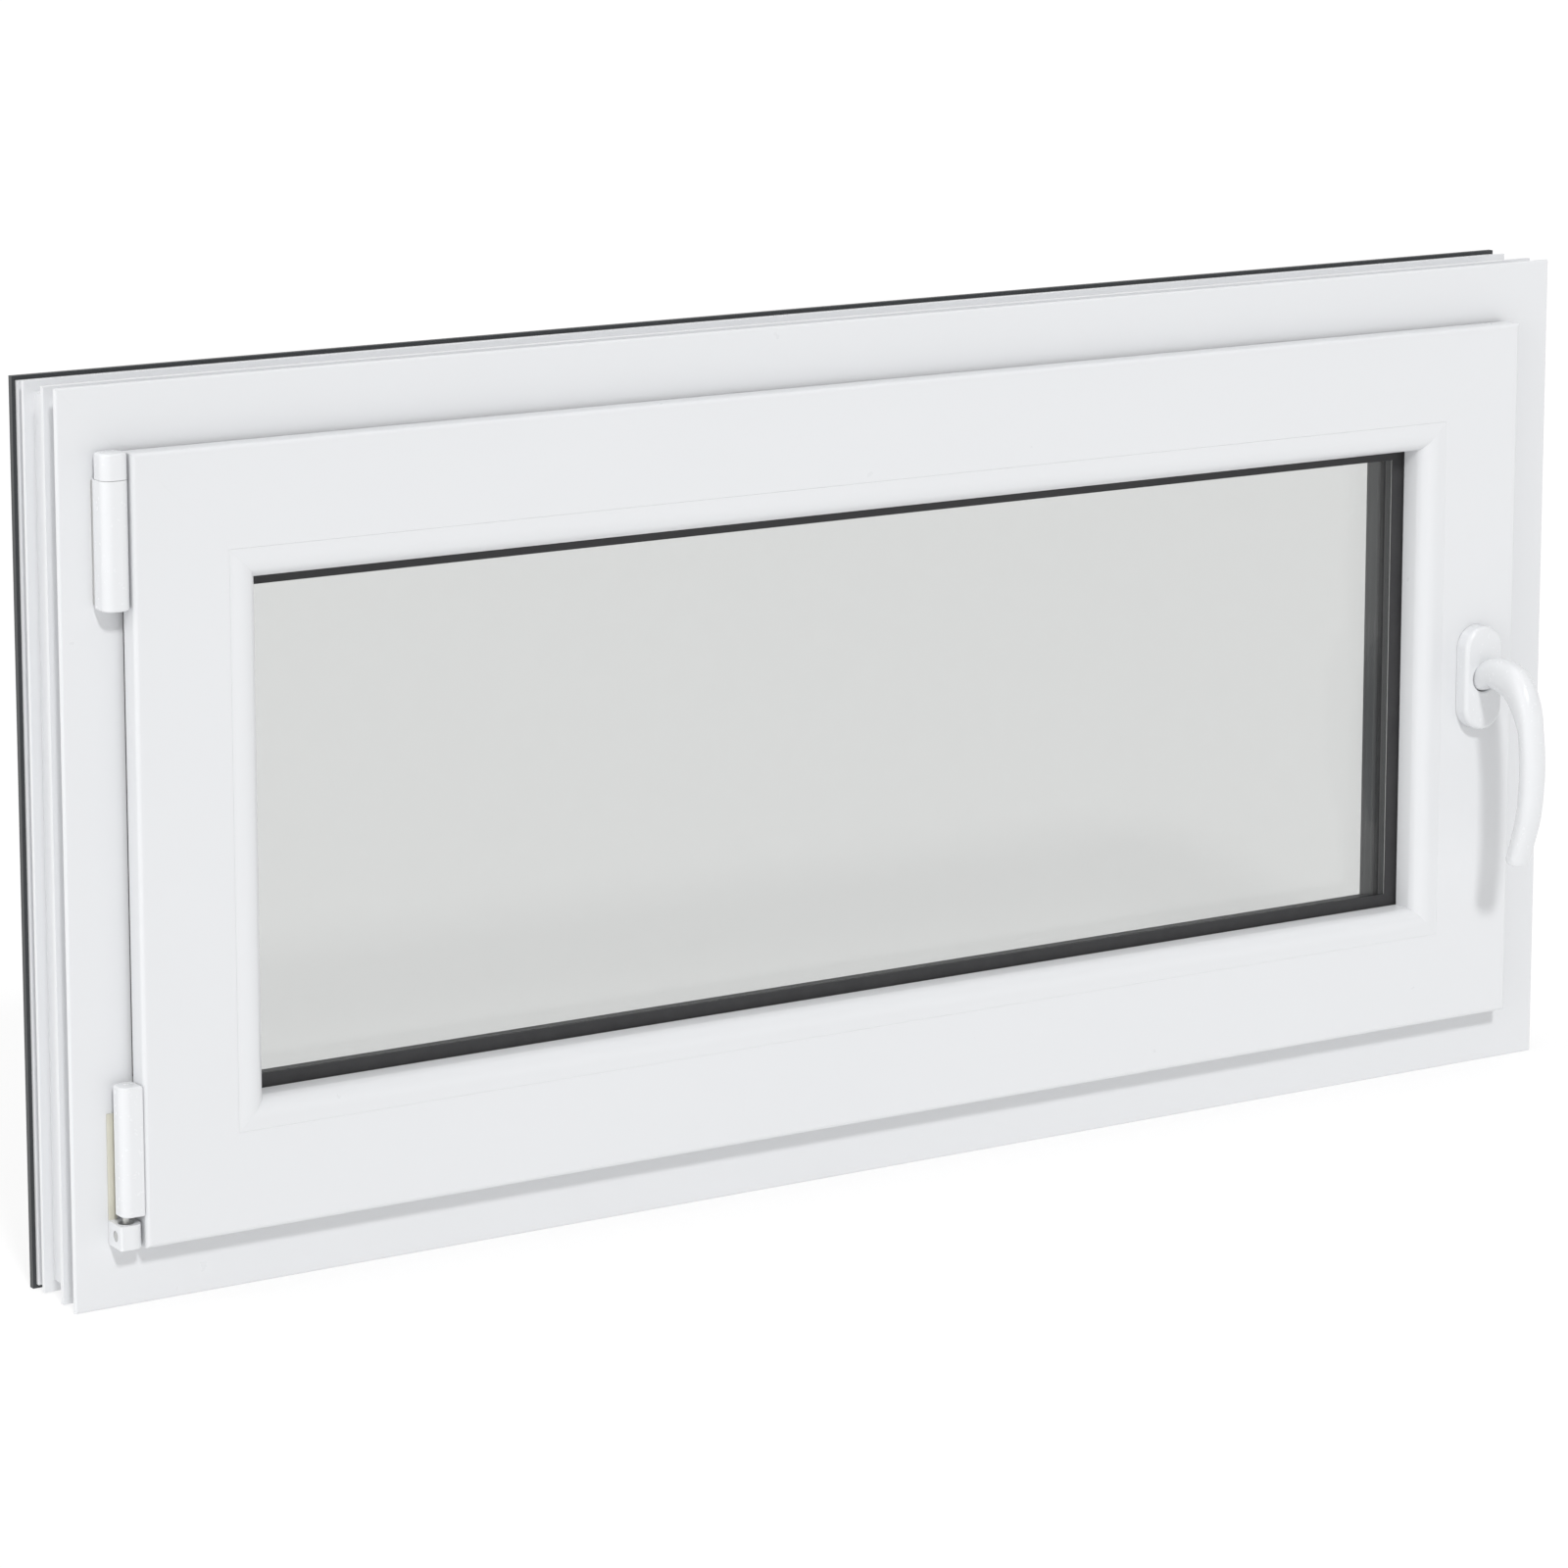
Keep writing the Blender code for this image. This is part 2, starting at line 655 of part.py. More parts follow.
def make_glazing():
    pane("inner_pane", INNER_PANE)
    pane("outer_pane", OUTER_PANE)
    cavity_low = INNER_PANE + PANE + FIT
    cavity_high = OUTER_PANE - FIT
    spacer_edge = SIGHT_LINE - SPACER_INSET
    spacer_back = spacer_edge - SPACER_HEIGHT
    ring(
        "spacer_bar", box_outline(spacer_back, spacer_edge, cavity_low, cavity_high), SPACER_GREY
    )
    gasket_back = INNER_PANE - FIT / 2
    lip_front = gasket_back - GASKET_LIP_THICK
    ring(
        "inner_glazing_gasket",
        outline(
            (GLASS_EDGE + 6 * MM, BEAD_BACK + FIT),
            (SIGHT_LINE - FIT, BEAD_BACK + FIT),
            (SIGHT_LINE - FIT, lip_front),
            (SIGHT_LINE + GASKET_LIP, lip_front),
            (SIGHT_LINE + GASKET_LIP, gasket_back),
            (GLASS_EDGE + 6 * MM, gasket_back),
        ),
        BLACK_RUBBER,
    )
    ring(
        "outer_glazing_gasket",
        box_outline(
            GLASS_EDGE + 6 * MM, SIGHT_LINE - 0.8 * MM, OUTER_PANE + PANE + FIT, UPSTAND - FIT
        ),
        BLACK_RUBBER,
    )
    length = 100 * MM
    low_t = INNER_PANE
    high_t = OUTER_PANE + PANE
    near = GLASS_SEAT + FIT
    far = GLASS_EDGE - FIT
    block(
        "glass_packer_lower",
        at(GLASS_EDGE + 40 * MM, low_t, near),
        at(GLASS_EDGE + 40 * MM + length, high_t, far),
        PACKER_GREEN,
    )
    block(
        "glass_packer_upper",
        at(FRAME_WIDTH - GLASS_EDGE - 40 * MM - length, low_t, FRAME_HEIGHT - far),
        at(FRAME_WIDTH - GLASS_EDGE - 40 * MM, high_t, FRAME_HEIGHT - near),
        PACKER_GREEN,
    )


# Hinges

AXIS = (HINGE_INSET, -HINGE_PROUD)
HEAD_REBATE = FRAME_HEIGHT - FRAME_FACE
SASH_TOP = FRAME_HEIGHT - SASH_SIDE
STAY_LOW = HEAD_REBATE - 1.8 * MM - STAY_THICK
STAY_HIGH = STAY_LOW + STAY_THICK
KNUCKLE_RADIUS = 7.4 * MM
STAY_CAP_RADIUS = 9.7 * MM
COVER_TOP = STAY_LOW - 2.5 * MM
COVER_LOW = COVER_TOP - 83.5 * MM
STAY_CAP_TOP = COVER_TOP + 17.3 * MM
BAND_LOW = TILT_HEIGHT + 14 * MM
BAND_HIGH = BAND_LOW + 86 * MM
BLOCK_LOW = TILT_HEIGHT - 7 * MM
BLOCK_HIGH = TILT_HEIGHT + 9 * MM
BALL = 3.2 * MM
SWIVEL_RADIUS = 5.2 * MM
ADJUSTER = 3.6 * MM  # hole for the side adjusting screw
PLATE_THICK = 2.6 * MM
PLATE_BACK = -0.7 * MM
PLATE_FRONT = PLATE_BACK - PLATE_THICK
LEG_HIGH = SASH_SIDE - 4.7 * MM
LEG_LOW = LEG_HIGH - PLATE_THICK


def world_outline(points):
    """(across, depth) points from the frame's corner, as world X and Y."""
    origin = at(0, 0, 0)
    return [(origin.x + across, origin.y + depth) for across, depth in points]


def upright(name, points, low, high, look, holes=()):
    """A prism standing on a plan outline."""
    outlines = [world_outline(points)] + [world_outline(hole) for hole in holes]
    return prism(name, outlines, low - RIB_INSET, high - RIB_INSET, look)


def axis_circle(radius, steps=24):
    return circle(radius, steps, AXIS)


def make_stay_bearing():
    """Upper hinge: a bearing on the frame, its pin and its cover."""
    across, depth = AXIS
    bore = PIN_RADIUS + RUNNING
    left = across - 10.5 * MM
    right = across + 8.4 * MM
    bearing = upright(
        "stay_bearing",
        outline((left + 1.5 * MM, -FIT), (left + 1.5 * MM, -3 * MM), (right - 1.8 * MM, -3 * MM),
                (right - 1.8 * MM, -FIT)),
        COVER_LOW + 3 * MM,
        COVER_TOP - 1 * MM,
        ZINC_STEEL,
    )
    web = upright(
        "stay_bearing_web",
        outline((across - 4 * MM, -2 * MM), (across - 4 * MM, depth), (across + 4 * MM, depth),
                (across + 4 * MM, -2 * MM)),
        COVER_LOW + 3 * MM,
        COVER_TOP - 1 * MM,
        ZINC_STEEL,
    )
    lug = upright(
        "stay_bearing_lug", axis_circle(5.4 * MM), COVER_LOW + 3 * MM, COVER_TOP - 1 * MM, ZINC_STEEL
    )
    hole = upright(
        "stay_bearing_bore", axis_circle(bore), COVER_LOW, COVER_TOP + 5 * MM, ZINC_STEEL
    )
    cut(join(bearing, web, lug), hole)
    cylinder(
        "stay_bearing_pin",
        PIN_RADIUS,
        at(across, depth, COVER_LOW + 5 * MM),
        at(across, depth, STAY_HIGH + 4 * MM),
        ZINC_STEEL,
    )
    front = depth - 8.8 * MM
    wall = 1.4 * MM
    cover = upright(
        "stay_bearing_cover",
        outline((left, -FIT), (left, front, 6 * MM), (right, front, 7.5 * MM), (right, -FIT), steps=6),
        COVER_LOW,
        COVER_TOP,
        WHITE_LACQUER,
    )
    room = upright(
        "stay_cover_room",
        outline(
            (left + wall, 5 * MM),
            (left + wall, front + wall, 4.6 * MM),
            (right - wall, front + wall, 6.1 * MM),
            (right - wall, 5 * MM),
        ),
        COVER_LOW + wall,
        COVER_TOP + 5 * MM,
        WHITE_LACQUER,
    )
    cut(cover, room)


GUIDE = HINGE_INSET + STAY_REACH  # guide pin, from the frame's hinge-side edge
GUIDE_PIN = 3 * MM
BAR_HALF = 5 * MM


def make_stay_arm():
    """The stay: a knuckle on the pin, a crank through the lip's gap and a bar over the sash."""
    across, depth = AXIS
    end = GUIDE + 6 * MM
    low_t = PLATE_AXIS - BAR_HALF
    high_t = PLATE_AXIS + BAR_HALF
    plan = outline(
        (across - 2 * MM, depth + 2.5 * MM),
        (across + 4 * MM, depth + 2.5 * MM),
        (LIP_EDGE - 0.8 * MM, PLATE_FRONT),
        (LEG_HIGH, PLATE_FRONT),
        (LEG_HIGH, low_t),
        (end, low_t),
        (end, high_t),
        (LEG_LOW, high_t),
        (LEG_LOW, PLATE_BACK),
        (across + 2 * MM, PLATE_BACK),
        (across - 2 * MM, depth + 7 * MM),
    )
    arm = upright("stay_arm", plan, STAY_LOW, STAY_HIGH, ZINC_STEEL)
    knuckle = upright(
        "stay_knuckle", axis_circle(KNUCKLE_RADIUS), COVER_TOP + FIT, STAY_CAP_TOP - 3 * MM,
        ZINC_STEEL,
    )
    guide = upright(
        "stay_guide_pin", circle(GUIDE_PIN, 20, (GUIDE, PLATE_AXIS)), SASH_TOP - 4.5 * MM,
        STAY_HIGH - 1 * MM, ZINC_STEEL,
    )
    bore = upright(
        "stay_bore", axis_circle(PIN_RADIUS + RUNNING), COVER_TOP - 5 * MM, STAY_HIGH + 4.5 * MM,
        ZINC_STEEL,
    )
    cut(join(arm, knuckle, guide), bore)
    cap = upright(
        "stay_cap", axis_circle(STAY_CAP_RADIUS, 40), COVER_TOP + FIT, STAY_CAP_TOP, WHITE_LACQUER
    )
    round_edges(cap, 1.2 * MM, segments=2)
    room = upright(
        "stay_cap_room",
        axis_circle(KNUCKLE_RADIUS + FIT, 32),
        COVER_TOP - 5 * MM,
        STAY_CAP_TOP - 2.6 * MM,
        WHITE_LACQUER,
    )
    window = block(
        "stay_cap_window",
        at(across - 3 * MM, depth + 1 * MM, STAY_LOW - FIT),
        at(across + 15 * MM, depth + 15 * MM, STAY_HIGH + FIT),
        WHITE_LACQUER,
    )
    cut(cap, room, window)


def make_corner_hinge():
    """Lower hinge: bearing block on the frame, turning swivel, ball pin and corner band."""
    across, depth = AXIS
    left = across - 7.6 * MM
    right = across + 8.5 * MM
    front = depth - 8.5 * MM
    bearing = upright(
        "corner_bearing",
        outline((left, -FIT), (left, front, 1.5 * MM), (right, front, 6 * MM), (right, -FIT)),
        BLOCK_LOW,
        BLOCK_HIGH,
        WHITE_LACQUER,
    )
    well = upright(
        "corner_bearing_well",
        axis_circle(SWIVEL_RADIUS + FIT),
        BLOCK_LOW + 1.8 * MM,
        BLOCK_HIGH + 5 * MM,
        WHITE_LACQUER,
    )
    middle = TILT_HEIGHT + 1 * MM
    screw_hole = cylinder(
        "corner_screw_hole",
        ADJUSTER,
        at(left - 2 * MM, depth, middle),
        at(across - 1 * MM, depth, middle),
        WHITE_LACQUER,
        steps=20,
    )
    back_plate = block(
        "corner_bearing_plate",
        at(left, -FIT - 1.2 * MM, BLOCK_HIGH - 1 * MM),
        at(across - 2 * MM, -FIT, BLOCK_HIGH + 70.5 * MM),
        WHITE_LACQUER,
    )
    cut(bearing, well, screw_hole)
    join(bearing, back_plate)
    cylinder(
        "corner_bearing_screw",
        ADJUSTER - FIT,
        at(left + 0.5 * MM, depth, middle),
        at(across - SWIVEL_RADIUS - FIT, depth, middle),
        ZINC_STEEL,
        steps=20,
    )
    floor = BLOCK_LOW + 1.8 * MM + FIT - TILT_HEIGHT
    turned(
        "bearing_swivel",
        [
            (0, floor + 1.2 * MM),
            (BALL + 0.8 * MM, floor + 1.2 * MM),
            (BALL + 0.8 * MM, 2.5 * MM),
            (SWIVEL_RADIUS, 2.5 * MM),
            (SWIVEL_RADIUS, floor),
            (0, floor),
        ],
        at(across, depth, TILT_HEIGHT),
        ZINC_STEEL,
    )
    stem = 2.3 * MM
    stem_top = 44 * MM
    start = math.asin(stem / BALL)
    steps = 7
    profile = [(0, stem_top), (stem, stem_top)]
    for step in range(steps + 1):
        angle = start + (math.pi - start) * step / steps
        radius = BALL * math.sin(angle)
        profile.append((max(radius, 0) if step < steps else 0, BALL * math.cos(angle)))
    turned("corner_pivot_pin", profile, at(across, depth, TILT_HEIGHT), ZINC_STEEL, steps=20)
    low = BAND_LOW + 2 * MM
    high = BAND_HIGH - 2 * MM
    band = upright(
        "corner_band",
        outline(
            (across - 2 * MM, depth + 2 * MM),
            (across + 4 * MM, depth + 1 * MM),
            (LIP_EDGE - 3 * MM, PLATE_FRONT),
            (LEG_HIGH, PLATE_FRONT),
            (LEG_HIGH, PLATE_LOW + 2 * MM),
            (SASH_SIDE - FIT, PLATE_LOW + 2 * MM),
            (SASH_SIDE - FIT, PLATE_HIGH - 2 * MM),
            (LEG_LOW, PLATE_HIGH - 2 * MM),
            (LEG_LOW, PLATE_BACK),
            (across + 3 * MM, PLATE_BACK),
            (across - 2 * MM, depth + 5 * MM),
        ),
        low,
        high,
        ZINC_STEEL,
    )
    knuckle = upright("corner_band_knuckle", axis_circle(5.2 * MM), low, high, ZINC_STEEL)
    bore = upright(
        "corner_band_bore",
        axis_circle(stem + FIT, 20),
        low - 5 * MM,
        TILT_HEIGHT + stem_top + FIT,
        ZINC_STEEL,
    )
    cut(join(band, knuckle), bore)
    left = across - 7.7 * MM
    right = LIP_EDGE - FIT
    front = SASH_FRONT + 0.5 * MM
    back = depth + 6.7 * MM
    cover = upright(
        "corner_band_cover",
        outline((left, back, 5 * MM), (left, front, 7 * MM), (right, front, 1 * MM), (right, back)),
        BAND_LOW,
        BAND_HIGH,
        WHITE_LACQUER,
    )
    wall = 1.3 * MM
    room = upright(
        "band_cover_room",
        outline(
            (left + wall, back - wall, 3.7 * MM),
            (left + wall, front + wall, 5.7 * MM),
            (right - wall, front + wall),
            (right - wall, back + 5 * MM),
            (across - 3 * MM, back + 5 * MM),
            (across - 3 * MM, back - wall),
        ),
        BAND_LOW - 5 * MM,
        BAND_HIGH - wall,
        WHITE_LACQUER,
    )
    cut(cover, room)


# Locking gear

HANDLE = (FRAME_WIDTH - HANDLE_INSET, FRAME_HEIGHT / 2)
GEAR_HALF = 4.2 * MM
CASE_WALL = 1.2 * MM
CASE_REACH = GEAR_RADIUS + 0.8 * MM + CASE_WALL
CASE_HALF = 50 * MM
LOCK_CAMS = (LOWER_CAM_SHARE * FRAME_HEIGHT, LOCK_CAM_SHARE * FRAME_HEIGHT)
HEAD_CAM = 0.72 * FRAME_WIDTH
CAM_TOP = FRAME_FACE + 3 * MM
ROD_HALF = 4.5 * MM
ROD_UNDER = ROD_TOP + ROD_THICK


def lock_side(d):
    """Distance from the frame's hinge-side edge of a place d inwards from its lock-side edge."""
    return FRAME_WIDTH - d


def head_side(d):
    return FRAME_HEIGHT - d


def keep_outline(start):
    """Keep section: a plate on the rebate and a wall behind the cam. start turns (d, t) to world."""
    plate = FRAME_FACE + 1.6 * MM
    wall = FRAME_FACE + 9.5 * MM
    back = PLATE_AXIS + 9 * MM
    corners = (
        (FRAME_FACE + FIT, PLATE_AXIS - 5.5 * MM),
        (plate, PLATE_AXIS - 5.5 * MM),
        (plate, back - 2.5 * MM),
        (wall, back - 2.5 * MM),
        (wall, back),
        (FRAME_FACE + FIT, back),
    )
    return [start(d, t) for d, t in corners]


def make_keeps():
    def on_jamb(d, t):
        place = at(lock_side(d), t, 0)
        return (place.x, place.y)

    def on_head(d, t):
        place = at(0, t, head_side(d))
        return (place.y, place.z)

    reach = 30 * MM
    for name, height in zip(("lower_lock_keep", "upper_lock_keep"), LOCK_CAMS):
        middle = at(0, 0, height - ROD_TRAVEL / 4).z
        section = [keep_outline(on_jamb)]
        prism(name, section, middle - reach, middle + reach, ZINC_STEEL, "XY")
    middle = at(HEAD_CAM + ROD_TRAVEL / 4, 0, 0).x
    section = [keep_outline(on_head)]
    prism("head_keep", section, middle - reach, middle + reach, ZINC_STEEL, "YZ")


def cam_slot(name, place, travel, upright_rod):
    """The slot in a faceplate for one cam and its travel."""
    half = CAM_STEM + SLIDE
    if upright_rod:
        low = at(lock_side(ROD_UNDER + 2 * MM), PLATE_AXIS - half, place - travel - half)
        high = at(lock_side(SASH_SIDE - 2 * MM), PLATE_AXIS + half, place + half)
    else:
        low = at(place - half, PLATE_AXIS - half, head_side(ROD_UNDER + 2 * MM))
        high = at(place + travel + half, PLATE_AXIS + half, head_side(SASH_SIDE - 2 * MM))
    return block(name, low, high, ZINC_STEEL)


def cam(name, low, high, foot, head):
    """A mushroom cam: its stem from the rod, and its head above the faceplate."""
    top = cylinder(f"{name}_head", CAM_RADIUS, low, high, ZINC_STEEL, steps=16)
    stem = cylinder(f"{name}_stem", CAM_STEM, foot, head, ZINC_STEEL, steps=16)
    return top, stem


def make_lock_rod():
    half = FACEPLATE_WIDTH / 2 - FIT
    plate_low = SASH_SIDE + 14 * MM
    plate_high = FRAME_HEIGHT - SASH_SIDE - CORNER_LEG - 2 * MM
    plate = block(
        "lock_faceplate",
        at(lock_side(SASH_SIDE + FACEPLATE_THICK), PLATE_AXIS - half, plate_low),
        at(lock_side(SASH_SIDE), PLATE_AXIS + half, plate_high),
        ZINC_STEEL,
    )
    rod = block(
        "lock_drive_rod",
        at(lock_side(ROD_UNDER), PLATE_AXIS - ROD_HALF, LOCK_CAMS[0] - 10 * MM),
        at(lock_side(ROD_TOP), PLATE_AXIS + ROD_HALF, LOCK_CAMS[1] + 10 * MM),
        ZINC_STEEL,
    )
    for index, height in enumerate(LOCK_CAMS):
        cut(plate, cam_slot(f"lock_slot_{index}", height, ROD_TRAVEL, True))
        join(
            rod,
            *cam(
                f"lock_cam_{index}",
                at(lock_side(SASH_SIDE - SLIDE), PLATE_AXIS, height),
                at(lock_side(CAM_TOP), PLATE_AXIS, height),
                at(lock_side(ROD_UNDER - 0.3 * MM), PLATE_AXIS, height),
                at(lock_side(SASH_SIDE - 2 * MM), PLATE_AXIS, height),
            ),
        )


CORNER_LEG = 34 * MM
STAY_RAIL = (GUIDE - 42 * MM, GUIDE + 20 * MM)


def make_head_rod():
    half = FACEPLATE_WIDTH / 2 - FIT
    end = FRAME_WIDTH - SASH_SIDE - CORNER_LEG - 2 * MM
    low = head_side(SASH_SIDE + FACEPLATE_THICK)
    high = head_side(SASH_SIDE)
    plate = block(
        "head_faceplate",
        at(STAY_RAIL[1] + 2 * MM, PLATE_AXIS - half, low),
        at(end, PLATE_AXIS + half, high),
        ZINC_STEEL,
    )
    cut(plate, cam_slot("head_slot", HEAD_CAM, ROD_TRAVEL, False))
    rod = block(
        "head_drive_rod",
        at(STAY_RAIL[1] + 20 * MM, PLATE_AXIS - ROD_HALF, head_side(ROD_UNDER)),
        at(end - ROD_TRAVEL - 2 * MM, PLATE_AXIS + ROD_HALF, head_side(ROD_TOP)),
        ZINC_STEEL,
    )
    join(
        rod,
        *cam(
            "head_cam",
            at(HEAD_CAM, PLATE_AXIS, head_side(SASH_SIDE - SLIDE)),
            at(HEAD_CAM, PLATE_AXIS, head_side(CAM_TOP)),
            at(HEAD_CAM, PLATE_AXIS, head_side(ROD_UNDER - 0.3 * MM)),
            at(HEAD_CAM, PLATE_AXIS, head_side(SASH_SIDE - 2 * MM)),
        ),
    )
    rail = block(
        "stay_guide_rail",
        at(STAY_RAIL[0], PLATE_AXIS - half, low),
        at(STAY_RAIL[1], PLATE_AXIS + half, high),
        ZINC_STEEL,
    )
    play = 1.2 * MM
    slot = block(
        "stay_rail_slot",
        at(GUIDE - 9 * MM, PLATE_AXIS - GUIDE_PIN - play, low - 2 * MM),
        at(GUIDE + GUIDE_PIN + play, PLATE_AXIS + GUIDE_PIN + play, high + 2 * MM),
        ZINC_STEEL,
    )
    cut(rail, slot)


def make_corner_drive():
    """The angle that carries the rods' motion round the upper lock-side corner."""
    outer_x = at(lock_side(SASH_SIDE), 0, 0).x
    outer_z = at(0, 0, head_side(SASH_SIDE)).z
    thick = FACEPLATE_THICK
    corners = outline(
        (outer_x - CORNER_LEG, outer_z),
        (outer_x - CORNER_LEG, outer_z - thick),
        (outer_x - thick, outer_z - thick, 1 * MM),
        (outer_x - thick, outer_z - CORNER_LEG),
        (outer_x, outer_z - CORNER_LEG),
        (outer_x, outer_z, 3 * MM),
        steps=3,
    )
    half = FACEPLATE_WIDTH / 2 - FIT
    middle = at(0, PLATE_AXIS, 0).y
    prism("upper_corner_drive", [corners], middle - half, middle + half, ZINC_STEEL, "XZ")


def handle_circle(radius, steps=24, rise=0.0):
    place = at(HANDLE[0], 0, HANDLE[1] + rise)
    return circle(radius, steps, (place.x, place.z))


def square(side):
    place = at(HANDLE[0], 0, HANDLE[1])
    half = side / 2
    return [
        (place.x - half, place.z - half),
        (place.x + half, place.z - half),
        (place.x + half, place.z + half),
        (place.x - half, place.z + half),
    ]


def across_wall(name, outlines, low_t, high_t, look):
    """A prism through the wall's depth, from a front outline in world X and Z."""
    offset = at(0, 0, 0).y
    return prism(name, outlines, offset + low_t, offset + high_t, look, "XZ")


def gear_outline():
    """Pinion with straight-sided teeth."""
    teeth = 18
    tip = GEAR_RADIUS - 0.2 * MM
    root = GEAR_RADIUS - 2.2 * MM
    place = at(HANDLE[0], 0, HANDLE[1])
    points = []
    for tooth in range(teeth):
        for share, radius in ((-0.30, root), (-0.13, tip), (0.13, tip), (0.30, root)):
            angle = 2 * math.pi * (tooth + share) / teeth
            points.append(
                (place.x + radius * math.cos(angle), place.z + radius * math.sin(angle))
            )
    return points


def make_gearbox(made):
    """Gearbox in the lock stile, its pinion and the cut-outs that let it in."""
    inner = ROD_UNDER + FIT
    outer = HANDLE_INSET + CASE_REACH
    low_t = ROD_LOW + FIT
    high_t = ROD_HIGH - FIT
    case = block(
        "gearbox_case",
        at(lock_side(outer), low_t, HANDLE[1] - CASE_HALF),
        at(lock_side(inner), high_t, HANDLE[1] + CASE_HALF),
        ZINC_STEEL,
    )
    hollow = block(
        "gearbox_hollow",
        at(lock_side(outer - CASE_WALL), low_t + CASE_WALL, HANDLE[1] - CASE_HALF + CASE_WALL),
        at(lock_side(inner - 3 * MM), high_t - CASE_WALL, HANDLE[1] + CASE_HALF - CASE_WALL),
        ZINC_STEEL,
    )
    hub_hole = across_wall(
        "gearbox_hub_hole", [handle_circle(6.4 * MM)], low_t - 2 * MM, high_t + 2 * MM, ZINC_STEEL
    )
    cut(case, hollow, hub_hole)
    pinion = across_wall(
        "gearbox_pinion",
        [gear_outline()],
        PLATE_AXIS - GEAR_HALF,
        PLATE_AXIS + GEAR_HALF,
        ZINC_STEEL,
    )
    hub = across_wall(
        "pinion_hub", [handle_circle(6 * MM)], low_t + 0.1 * MM, high_t - 0.1 * MM, ZINC_STEEL
    )
    socket = across_wall(
        "pinion_socket", [square(SPINDLE + 2 * FIT)], low_t - 2 * MM, high_t + 2 * MM, ZINC_STEEL
    )
    cut(join(pinion, hub), socket)
    pocket = block(
        "gearbox_pocket",
        at(lock_side(outer + FIT), ROD_LOW, HANDLE[1] - CASE_HALF - 1 * MM),
        at(lock_side(GROOVE_FLOOR - 1 * MM), ROD_HIGH, HANDLE[1] + CASE_HALF + 1 * MM),
        WHITE_PLASTIC,
    )
    front = SASH_FRONT - 2 * MM
    holes = [
        across_wall(
            f"stile_hole_{index}",
            [handle_circle(radius, 20, rise)],
            front,
            ROD_LOW + 1 * MM,
            WHITE_PLASTIC,
        )
        for index, (rise, radius) in enumerate(
            ((0, 6.5 * MM), (SCREW_SPACING / 2, 3.2 * MM), (-SCREW_SPACING / 2, 3.2 * MM))
        )
    ]
    cut(made["sash_lock_stile"], pocket, *holes)
    notch = block(
        "steel_notch",
        at(lock_side(outer + 1 * MM), SASH_STEEL_CHAMBER[2] - 2 * MM, HANDLE[1] - CASE_HALF - 3 * MM),
        at(lock_side(GROOVE_FLOOR), ROD_HIGH + 1 * MM, HANDLE[1] + CASE_HALF + 3 * MM),
        GALVANISED,
    )
    cut(made["sash_steel_lock"], notch)


# Handle

ROSETTE = (34 * MM, 77 * MM)
ROSETTE_THICK = 12 * MM
BASE_THICK = 4.5 * MM
NECK = 9.2 * MM


def moved_outline(points):
    place = at(HANDLE[0], 0, HANDLE[1])
    return [(place.x + x, place.z + z) for x, z in points]


def make_rosette():
    face = SASH_FRONT
    base = across_wall(
        "handle_base_plate",
        [
            moved_outline(stadium(ROSETTE[0] - 5 * MM, ROSETTE[1] - 5 * MM, 8)),
            handle_circle(6 * MM),
            handle_circle(2.9 * MM, 16, SCREW_SPACING / 2),
            handle_circle(2.9 * MM, 16, -SCREW_SPACING / 2),
        ],
        face - BASE_THICK,
        face - FIT,
        ZINC_STEEL,
    )
    cap = across_wall(
        "handle_rosette",
        [moved_outline(stadium(*ROSETTE))],
        face - ROSETTE_THICK,
        face - FIT,
        WHITE_LACQUER,
    )
    round_edges(cap, 3 * MM, segments=3, angle=60)
    wall = 1.8 * MM
    room = across_wall(
        "rosette_room",
        [moved_outline(stadium(ROSETTE[0] - 2 * wall, ROSETTE[1] - 2 * wall, 8))],
        face - ROSETTE_THICK + 3 * MM,
        face + 5 * MM,
        WHITE_LACQUER,
    )
    mouth = across_wall(
        "rosette_mouth",
        [handle_circle(NECK + 0.6 * MM, 32)],
        face - ROSETTE_THICK - 5 * MM,
        face,
        WHITE_LACQUER,
    )
    cut(cap, room, mouth)
    for name, rise in (
        ("handle_screw_upper", SCREW_SPACING / 2),
        ("handle_screw_lower", -SCREW_SPACING / 2),
    ):
        place = (HANDLE[0], HANDLE[1] + rise)
        screw = cylinder(
            name,
            2.5 * MM,
            at(place[0], ROD_LOW, place[1]),
            at(place[0], face - BASE_THICK - 1 * MM, place[1]),
            ZINC_STEEL,
            steps=16,
        )
        head = cylinder(
            f"{name}_head",
            4.4 * MM,
            at(place[0], face - BASE_THICK - FIT, place[1]),
            at(place[0], face - BASE_THICK - 2.6 * MM, place[1]),
            ZINC_STEEL,
            steps=16,
        )
        join(screw, head)


def grip_path():
    """Middle line of the lever as (proud, rise) from the sash face and the handle axis."""
    neck = BASE_THICK + 2 * FIT
    return [
        Vector((neck, 0)),
        Vector((neck + 4 * MM, 0)),
        Vector((neck + 8 * MM, 0)),
        Vector((0.34 * GRIP_PROUD, 2.5 * MM)),
        Vector((0.52 * GRIP_PROUD, 4.5 * MM)),
        Vector((0.70 * GRIP_PROUD, 1.5 * MM)),
        Vector((0.84 * GRIP_PROUD, -0.06 * GRIP_DROP)),
        Vector((0.95 * GRIP_PROUD, -0.20 * GRIP_DROP)),
        Vector((GRIP_PROUD, -0.40 * GRIP_DROP)),
        Vector((0.99 * GRIP_PROUD, -0.58 * GRIP_DROP)),
        Vector((0.94 * GRIP_PROUD, -0.75 * GRIP_DROP)),
        Vector((0.78 * GRIP_PROUD, -GRIP_DROP)),
    ]


